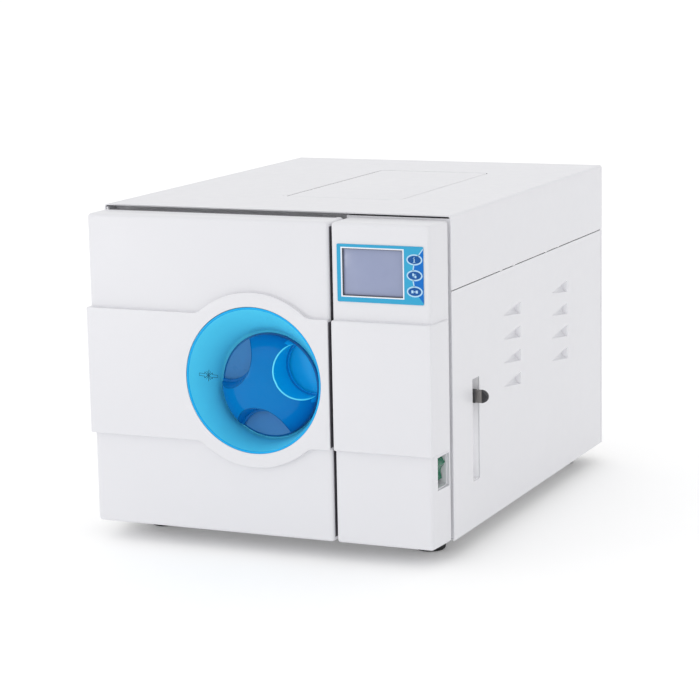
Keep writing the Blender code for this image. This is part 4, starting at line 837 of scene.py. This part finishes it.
def build_scoop_rims(back):
    """Beads along the scallops' front edges: a thick cyan painted highlight on the upper right one, thin
    darker blue painted shade on the other two.
    """
    ledge, tip = back - 4.0, back - GRIP_H - 3
    for k in range(3):
        middle = math.radians(SCALLOP_FIRST + 120 * k)
        one, other = [], []
        for step in range(2, 90):
            rise = math.radians(step)
            radius = GRIP_R * math.cos(rise) ** DOME_SIDE
            y = back - 0.6 - (GRIP_H - 0.6) * math.sin(rise) ** DOME_FRONT
            share = min(1.0, max(0.0, (ledge - y) / (ledge - tip)))
            hollow = SCALLOP_R + 1 + (SCALLOP_FLARE - 1) * share
            part = (radius**2 + SCALLOP_OUT**2 - hollow**2) / (2 * radius * SCALLOP_OUT)
            if y > ledge or abs(part) > 1:
                continue
            swing = math.acos(part)
            for side, line in ((-1, one), (1, other)):
                angle = middle + side * swing
                x, z = radius * math.cos(angle), radius * math.sin(angle)
                line.append(Vector((DISH_X + x, y, KNOB_Z + z)))
        line = one + other[::-1]
        count = len(line) - 1
        # The upper right bead is a thick painted highlight, the other two thin beads of painted shade.
        thick = 1.0 if k == 2 else 0.45
        ends = [min(1.0, 6 * i / count, 6 * (count - i) / count) for i in range(count + 1)]
        radii = [thick * (0.3 + 0.7 * share) for share in ends]
        look = "knob_rim_highlight" if k == 2 else "knob_base"
        goes_with(to_object(f"scoop_rim_{k}", tube_mesh(line, radii), look), "knob_grip")


# ------------------------------------------------------------------------------- control column

KEY_X, KEY_HEIGHTS = 215.0, (385.0, 365.8, 346.2)
panel_low, panel_high = box("display_overlay")
glass_low, glass_high = Vector((120.0, 0, 337.5)), Vector((199.7, 0, 395.8))


def drafted(left, front, right, back):
    """A plan outline whose right side leans outwards to the rear, as the moulding does."""
    lean = COLUMN_DRAFT / column_high.y
    return [(left, front), (right + front * lean, front), (right + back * lean, back), (left, back)]


def build_column():
    """Moulded column with its raised band, display opening, key holes and switch hole."""
    outline = drafted(COLUMN_L, 0, COLUMN_R, column_high.y)
    body = plate_mesh(outline, "Z", FRONT_LOW, FRONT_TOP)
    column = to_object("column_shell", soft_mesh(body, EDGE, 6), "shell")
    outline = drafted(COLUMN_L + GAP, -BAND_RAISE, COLUMN_R + BAND_WRAP, column_high.y - 8)
    join(column, soft_mesh(plate_mesh(outline, "Z", BAND_LOW, BAND_TOP), 2.2, 5))
    inner = (COLUMN_L + SHELL, SHELL, FRONT_LOW + SHELL)
    cut(column, box_mesh(inner, (COLUMN_R - SHELL, column_high.y + 5, FRONT_TOP - SHELL)))
    cut(column, box_mesh((glass_low.x, -5, glass_low.z), (glass_high.x, 8, glass_high.z)))
    for z in KEY_HEIGHTS:
        cut(column, plate_mesh(oval(KEY_X, z, 9.2, 5.7), "Y", -5, 8))
    well_low, well_high = box("switch_well")
    near = (COLUMN_R - 8, well_low.y - GAP, well_low.z - GAP)
    cut(column, box_mesh(near, (COLUMN_R + 8, well_high.y + GAP, well_high.z + GAP)))
    baked(column)
    stands_for(shade(column, 28), "control_column")


def frame_mesh(outer, inner, near, far):
    """A flat rectangular frame across Y, as four strips."""
    (x0, z0, x1, z1), (u0, w0, u1, w1) = outer, inner
    bars = [(x0, z0, x1, w0), (x0, w1, x1, z1), (x0, w0, u0, w1), (u1, w0, x1, w1)]
    return merged_mesh([box_mesh((a, near, b), (c, far, d)) for a, b, c, d in bars])


def build_display():
    """Printed overlay with border and link line, deep window, glass and three keys with plain symbols."""
    front, back = panel_low.y, panel_high.y
    face = front + 0.12
    outline = rect(panel_low.x, panel_low.z, panel_high.x, panel_high.z, 1.6)
    overlay = to_object("overlay_sheet", plate_mesh(outline, "Y", face, back), "cyan_print")
    cut(overlay, box_mesh((glass_low.x, -9, glass_low.z), (glass_high.x, 9, glass_high.z)))
    for z in KEY_HEIGHTS:
        cut(overlay, plate_mesh(oval(KEY_X, z, *KEY_HOLE), "Y", -9, 9))
    stands_for(soft_edges(overlay, 0.12, 2), "display_overlay")

    edge = panel_high.x
    dark = [(edge, 399), (218.5, 388), (214.5, 379), (212.9, 371.5), (213.3, 360)]
    dark += [(214.8, 352), (218.8, 341.8), (edge, 332)]
    zone = to_object("overlay_dark_zone", plate_mesh(dark, "Y", face - 0.05, face + 0.1), "navy_print")
    for z in KEY_HEIGHTS:
        cut(zone, plate_mesh(oval(KEY_X, z, *KEY_HOLE), "Y", -9, 9))
    goes_with(baked(zone), "display_overlay")
    links = []
    for (u0, w0), (u1, w1) in (((214.6, 379), (213.2, 371.5)), ((213.2, 360), (214.6, 352))):
        strip = [(u0 - 1, w0), (u1 - 1, w1), (u1 + 0.5, w1), (u0 + 0.5, w0)]
        links.append(plate_mesh(strip, "Y", front, face))
    strip = [(edge - 0.6, 398.8), (218, 388.4), (218.8, 387.6), (edge, 397.6)]
    links.append(plate_mesh(strip, "Y", front, face))
    for z in KEY_HEIGHTS:
        ring = plate_mesh(oval(KEY_X, z, 10.3, 6.7), "Y", front, face + 0.1)
        ring = to_object("ring_work", ring, "pale_print")
        cut(ring, plate_mesh(oval(KEY_X, z, *KEY_HOLE), "Y", -9, 9))
        baked(ring)
        bm = bmesh.new()
        bm.from_mesh(ring.data)
        bm.transform(Matrix.Translation(-SHIFT) @ Matrix.Scale(1 / MM, 4))
        bpy.data.objects.remove(ring, do_unlink=True)
        links.append(bm)
    goes_with(to_object("overlay_links", merged_mesh(links), "pale_print"), "display_overlay")
    window = (glass_low.x, glass_low.z, glass_high.x, glass_high.z)
    border = frame_mesh(SCREEN_BORDER, window, front, face + 0.1)
    goes_with(to_object("overlay_border", border, "white_print"), "display_overlay")

    # A dark bezel round the window, wider at its left and bottom where it is painted shadow of the recess.
    inset = 1.0
    inner = (window[0] + inset, window[1] + inset, window[2] - inset * 0.4, window[3] - inset * 0.6)
    snug = (window[0] + 0.05, window[1] + 0.05, window[2] - 0.05, window[3] - 0.05)
    seal_and_shadow = to_object("display_frame_and_shadow", frame_mesh(snug, inner, -0.2, 3.2), "seal_and_shadow")
    goes_with(seal_and_shadow, "lcd_module")
    low, high = box("lcd_module")
    glass = box_mesh((window[0] + 0.4, 1.6, window[1] + 0.4), (window[2] - 0.4, 4.2, window[3] - 0.4))
    glass = to_object("display_window", soft_mesh(glass, 0.3, 2), "screen")
    goes_with(glass, "lcd_module")
    module = to_object("display_module", soft_mesh(box_mesh((low.x, 3.3, low.z), high), 0.6, 3), "black")
    stands_for(module, "lcd_module")

    glyphs = (
        [(-0.5, -2.8, 0.5, 2.0), (-0.5, 2.6, 0.5, 3.4), (-1.5, -3.2, 1.5, -2.5), (-1.4, 1.4, 0.5, 2.0)],
        [(-2.6, -0.3, -0.4, 2.8), (0.3, -2.8, 2.6, 0.0), (-0.4, 0.9, 2.0, 1.5), (-2.0, -1.6, 0.3, -1.0)],
        [(-4.2, -1.7, -1.5, 1.7), (1.5, -1.7, 4.2, 1.7), (-1.5, -0.4, 1.5, 0.4)],
    )
    for k, (z, bars) in enumerate(zip(KEY_HEIGHTS, glyphs)):
        node = f"key_{k + 1}"
        low, high = box(node)
        cap = plate_mesh(oval(KEY_X, z, 8.45, 4.95, 64), "Y", low.y + 0.1, high.y)
        cap = to_object(node + "_cap", soft_mesh(cap, 0.35, 3), "key")
        stands_for(cap, node)
        y = low.y + 0.3
        print_top = [box_mesh((KEY_X + a, low.y, z + b), (KEY_X + c, y, z + d)) for a, b, c, d in bars]
        goes_with(to_object(node + "_print", merged_mesh(print_top), "pale_print"), node)


# ---------------------------------------------------------------------------------- data recess


def build_stick():
    """The stick in its socket: black collar, grey sleeve and a black loop with an open triangle."""
    low, high = box("data_stick")
    y, z = (low.y + high.y) / 2, (low.z + high.z) / 2
    half_t, half_w = (high.y - low.y) / 2, (high.z - low.z) / 2
    plug_l = 12.0
    shoulder = HALF_W + 0.4
    body = box_mesh((low.x + plug_l, y - half_t, z - half_w), (shoulder, y + half_t, z + half_w))
    stick = to_object("stick_collar", soft_mesh(body, 0.9, 3), "black")
    near, far = (low.x, y - half_t + 1.8, z - half_w + 2.8), (low.x + 14, y + half_t - 1.8, z + half_w - 2.8)
    join(stick, box_mesh(near, far))
    baked(stick)
    stands_for(shade(stick), "data_stick")
    end = HALF_W + 8.6
    near = (shoulder - 0.5, y - half_t + 0.3, z - half_w + 0.4)
    far = (end, y + half_t - 0.3, z + half_w - 0.4)
    sleeve = box_mesh(near, far)
    goes_with(to_object("stick_sleeve", soft_mesh(sleeve, 1.2, 4), "sleeve"), "data_stick")
    start, tip = end - 1.2, high.x
    bow = [(start + (tip - start) * u, z + half_w * v) for u, v in arc(0, 0, 1, -88, 88, 32)]
    loop = plate_mesh([(start, z - half_w)] + bow + [(start, z + half_w)], "Y", y - 1.4, y + 1.4)
    loop = to_object("stick_loop", loop, "black")
    hole = rounded([(start + 2.2, z - 5.4, 0.7), (tip - 1.9, z, 0.7), (start + 2.2, z + 5.4, 0.7)], 6)
    cut(loop, plate_mesh(hole, "Y", y - 9, y + 9))
    goes_with(shade(baked(loop)), "data_stick")


def build_recess():
    low, high = box("data_pocket")
    face = HALF_W - SHEET
    hole = rod_mesh((face - 19, 143.5, 98), (face - 10, 143.5, 98), 1.9, segments=32)
    # The pocket gets the lighter white: painted light offsetting the shade inside it.
    pocket = refined("data_pocket", "recess", 0.5, 3, holes=[hole])
    disc = [(0, low.x + 0.2), (1.8, low.x + 0.2), (1.8, low.x + 0.9), (0, low.x + 0.9)]
    dot = lathe_mesh(disc, (0, 143.5, 98), "X", 32)
    goes_with(to_object("recess_dot", dot, "black"), "data_pocket")
    return pocket


# ------------------------------------------------------------------------- closure and chamber


def build_closure():
    """Machined pressure plate with turned rings, and its lip seal."""
    low, high = box("pressure_plate")
    x, z = (low.x + high.x) / 2, (low.z + high.z) / 2
    r = (high.x - low.x) / 2
    back = high.y
    front = back - 10
    rings = []
    for k in range(6):
        radius = 118 - 17 * k
        rings += [(radius, back), (radius - 0.6, back - 0.5)]
        rings += [(radius - 2.2, back - 0.5), (radius - 2.8, back)]
    profile = [(0, back)] + rings[::-1] + [(124, back), (124, back - 2.5), (r, back - 2.5)]
    profile += [(r, front + 1.5), (r - 1.5, front), (14, front), (14, low.y + 10), (7, low.y + 9.6)]
    profile += [(7, low.y + 1), (6, low.y), (0, low.y)]
    shape = to_object("closure_disc", lathe_mesh(profile, (x, 0, z), "Y", 160), "steel_x")
    stands_for(shape, "pressure_plate")
    low, high = box("door_seal")
    inner, outer = (high.x - low.x) / 2 - 11, (high.x - low.x) / 2
    lip = [(outer, low.y), (outer, high.y - 1.2), (outer - 1.4, high.y), (outer - 4, high.y - 0.4)]
    lip += [(outer - 5.2, high.y - 1.4), (outer - 6.4, high.y - 0.4), (inner + 1.4, high.y)]
    lip += [(inner, high.y - 1.2), (inner, low.y)]
    seal = lathe_mesh(lip, (x, 0, z), "Y", 160, closed=True)
    stands_for(to_object("seal_lip", seal, "silicone"), "door_seal")


def build_chamber():
    low, high = box("chamber")
    x, z = (low.x + high.x) / 2, (low.z + high.z) / 2
    flange = (high.x - low.x) / 2
    inner, outer = flange - 19.5, flange - 17.0
    straight = high.y - 34.5
    arch = [math.radians(90 - 6 * k) for k in range(16)]
    profile = [(outer * math.cos(a), straight + 34.5 * math.sin(a)) for a in arch]
    profile[0] = (0.0, high.y)
    profile += [(outer, low.y + 8), (flange, low.y + 8), (flange, low.y + 1), (flange - 1, low.y)]
    profile += [(inner + 9, low.y), (inner + 8.4, low.y + 0.6), (inner + 6, low.y + 0.6)]
    profile += [(inner + 5.4, low.y), (inner + 1, low.y), (inner, low.y + 1)]
    hollow = [(inner * math.cos(a), straight + 32.0 * math.sin(a)) for a in reversed(arch)]
    hollow[-1] = (0.0, straight + 32.0)
    shape = lathe_mesh(profile + hollow, (x, 0, z), "Y", 160)
    stands_for(to_object("chamber_shell", shape, "polished"), "chamber")


# ------------------------------------------------------------------------- rear and inner units


def thread_profile(radius, start, end, pitch=1.6, depth=0.7):
    points, along = [], start
    while along < end:
        points += [(radius, along), (radius - depth, along + pitch / 2)]
        along += pitch
    return points + [(radius, end)]


def build_rear():
    """Drain and filling ports, fuse caps, the inlet's pins and the rear panel's screws."""
    for node in ("drain_port", "fill_port"):
        low, high = box(node)
        x, z = (low.x + high.x) / 2, (low.z + high.z) / 2
        r = (high.x - low.x) / 2
        end = high.y
        neck = min(5.2, r - 1)
        profile = [(0, low.y), (neck, low.y)] + thread_profile(neck, low.y + 1, 646)
        profile += [(neck, 647), (r, 649.6), (r, 653), (r - 1, 654), (neck, 654)]
        profile += thread_profile(neck, 655, end - 2)
        profile += [(neck - 1, end), (3, end), (2.6, end - 8), (0, end - 8)]
        stands_for(to_object(node + "_fitting", lathe_mesh(profile, (x, 0, z), "Y", 72), "brass"), node)
    for node in ("fuse_holder_1", "fuse_holder_2"):
        low, high = box(node)
        x, z = (low.x + high.x) / 2, (low.z + high.z) / 2
        r = (high.x - low.x) / 2
        flutes = [box_mesh((r - 0.8, high.y - 5, -0.5), (r + 1, high.y + 1, 0.5)) for _ in range(18)]
        for k, flute in enumerate(flutes):
            flute.transform(Matrix.Translation((x, 0, z)) @ Matrix.Rotation(k * math.tau / 18, 4, "Y"))
        slit = box_mesh((x - 4, high.y - 1.0, z - 0.6), (x + 4, high.y + 1, z + 0.6))
        refined(node, "black", 0.3, 2, holes=[merged_mesh(flutes), slit])
    refined("power_inlet", "black", 0.5, 3)
    low, high = box("rear_panel")
    screws = []
    for x, z in [(x, z) for x in (-225, 225) for z in (45, 240, 415)] + [(0, 45), (0, 415)]:
        screws.append(rod_mesh((x, high.y - 0.6, z), (x, high.y + 1, z), 3.6, segments=32))
        slot = lathe_mesh([(0, high.y - 1.0), (3.3, high.y - 1.0), (3.3, high.y - 0.35), (2.6, high.y)]
                          + [(1.3, high.y), (1.1, high.y - 0.8), (0, high.y - 0.8)], (x, 0, z), "Y", 32)
        goes_with(to_object(f"rear_screw_{len(screws)}", slot, "steel_z"), "rear_panel")
    refined("rear_panel", "paint", 0.3, 2, holes=screws)


REFINED = (
    ("base_plate", "steel_y", 0.4),
    ("front_frame", "paint", 0.5),
    ("switch_well", "shell", 0.5),
    ("power_rocker", "green", 0.5),
    ("door_bridge", "steel_x", 0.6),
    ("door_pan", "steel_z", 0.3),
    ("hinge_bracket_lower", "steel_z", 0.5),
    ("hinge_bracket_upper", "steel_z", 0.5),
    ("hinge_pin", "polished", 0.5),
    ("spindle", "steel_y", 0.25),
    ("latch_bolt", "steel_x", 0.4),
    ("door_striker", "steel_z", 0.5),
    ("data_socket", "steel_x", 0.2),
    ("tray_rack", "steel_y", 0.3),
    ("tray_lower", "steel_y", 0.4),
    ("tray_upper", "steel_y", 0.4),
    ("water_tank", "tank", 0.6),
    ("fan_shroud", "black", 0.5),
    ("fan_rotor", "black", 0.3),
    ("heater_band", "aluminium", 0.3),
    ("lagging", "wool", 1.5),
    ("condenser", "aluminium", 0.3),
    ("vacuum_pump", "aluminium", 0.6),
    ("power_supply", "aluminium", 0.4),
    ("steam_generator", "steel_z", 0.6),
    ("valve_block", "brass", 0.6),
    ("air_filter", "tank", 0.8),
    ("safety_valve", "brass", 0.6),
    ("control_board", "board", 0.2),
)

# Dark finish for the tank's lid gasket and the display's frame, and for strips of painted shadow in the
# door's gaps and round the tank lid.
LOOKS["seal_and_shadow"] = surface("seal_and_painted_shadow", (0.09, 0.085, 0.1), 0.6, 0.0, 0.2, 1500.0, 0.02, 0.3)

build_cover()
build_side(-1)
build_side(1)
build_feet()
build_door()
build_dish()
build_knob()
build_column()
build_display()
build_stick()
build_recess()
build_closure()
build_chamber()
build_rear()
for name, look, width in REFINED:
    refined(name, look, width)

# ------------------------------------------------------------------------- floor, light, camera


def studio():
    """White floor, white surroundings a little dimmer on the right, and weak soft lamps."""
    world = bpy.data.worlds.new("studio_air")
    world.use_nodes = True
    tree = world.node_tree
    coords = tree.nodes.new("ShaderNodeTexCoord")
    split = tree.nodes.new("ShaderNodeSeparateXYZ")
    tree.links.new(coords.outputs["Generated"], split.inputs["Vector"])
    level = remap(tree, split.outputs["X"], 1.02, 0.88, 0.0, 0.9)
    sky = tree.nodes["Background"]
    sky.inputs["Color"].default_value = (1.0, 1.0, 1.0, 1.0)
    tree.links.new(level, sky.inputs["Strength"])
    bpy.context.scene.world = world
    bm = bmesh.new()
    bmesh.ops.create_grid(bm, x_segments=1, y_segments=1, size=60000)
    bm.transform(Matrix.Translation(-SHIFT))
    floor = to_object("studio_floor", bm, "floor")
    aim = Vector((0.0, -0.1, 0.2))
    for name, place, width, height, power in LAMPS:
        data = bpy.data.lights.new(name, "AREA")
        data.shape = "RECTANGLE"
        data.size, data.size_y = width, height
        data.energy = power
        lamp = bpy.data.objects.new(name, data)
        lamp.location = place
        lamp.rotation_euler = (aim - Vector(place)).to_track_quat("-Z", "Y").to_euler()
        bpy.context.scene.collection.objects.link(lamp)


def camera():
    """A long lens from the front right, a little above, with a slight roll."""
    around, above, roll = math.radians(23.927), math.radians(10.388), math.radians(-1.132)
    forward = Vector((-math.sin(around), math.cos(around), 0)) * math.cos(above)
    forward.z = -math.sin(above)
    right = Vector((math.cos(around), math.sin(around), 0))
    down = forward.cross(right)
    across = right * math.cos(roll) - down * math.sin(roll)
    up = -(right * math.sin(roll) + down * math.cos(roll))
    data = bpy.data.cameras.new("view")
    data.lens = 123.13
    data.sensor_width = 36.0
    data.dof.use_dof = False
    data.clip_end = 100.0
    made = bpy.data.objects.new("view", data)
    turn = Matrix((across, up, -forward)).transposed().to_4x4()
    made.matrix_world = Matrix.Translation((1.28709, -2.96229, 0.7979)) @ turn
    bpy.context.scene.collection.objects.link(made)
    bpy.context.scene.camera = made


# Each lamp: name, place in metres, width, height, power in watts
LAMPS = (
    ("key", (-1.0, -2.6, 2.2), 1.9, 1.4, 1.4),
    ("window", (-1.35, -1.75, 0.42), 0.2, 0.42, 2.2),
)
LOOKS["floor"] = surface("white_sweep", (0.95, 0.95, 0.95), 0.8, 0.0, 0.002, 300.0, 0.02, 0.1)
sheen = LOOKS["floor"].node_tree.nodes["Principled BSDF"]
sheen.inputs["Emission Color"].default_value = (1.0, 1.0, 1.0, 1.0)
sheen.inputs["Emission Strength"].default_value = 0.12
studio()
camera()
bpy.context.scene.view_settings.view_transform = "Standard"
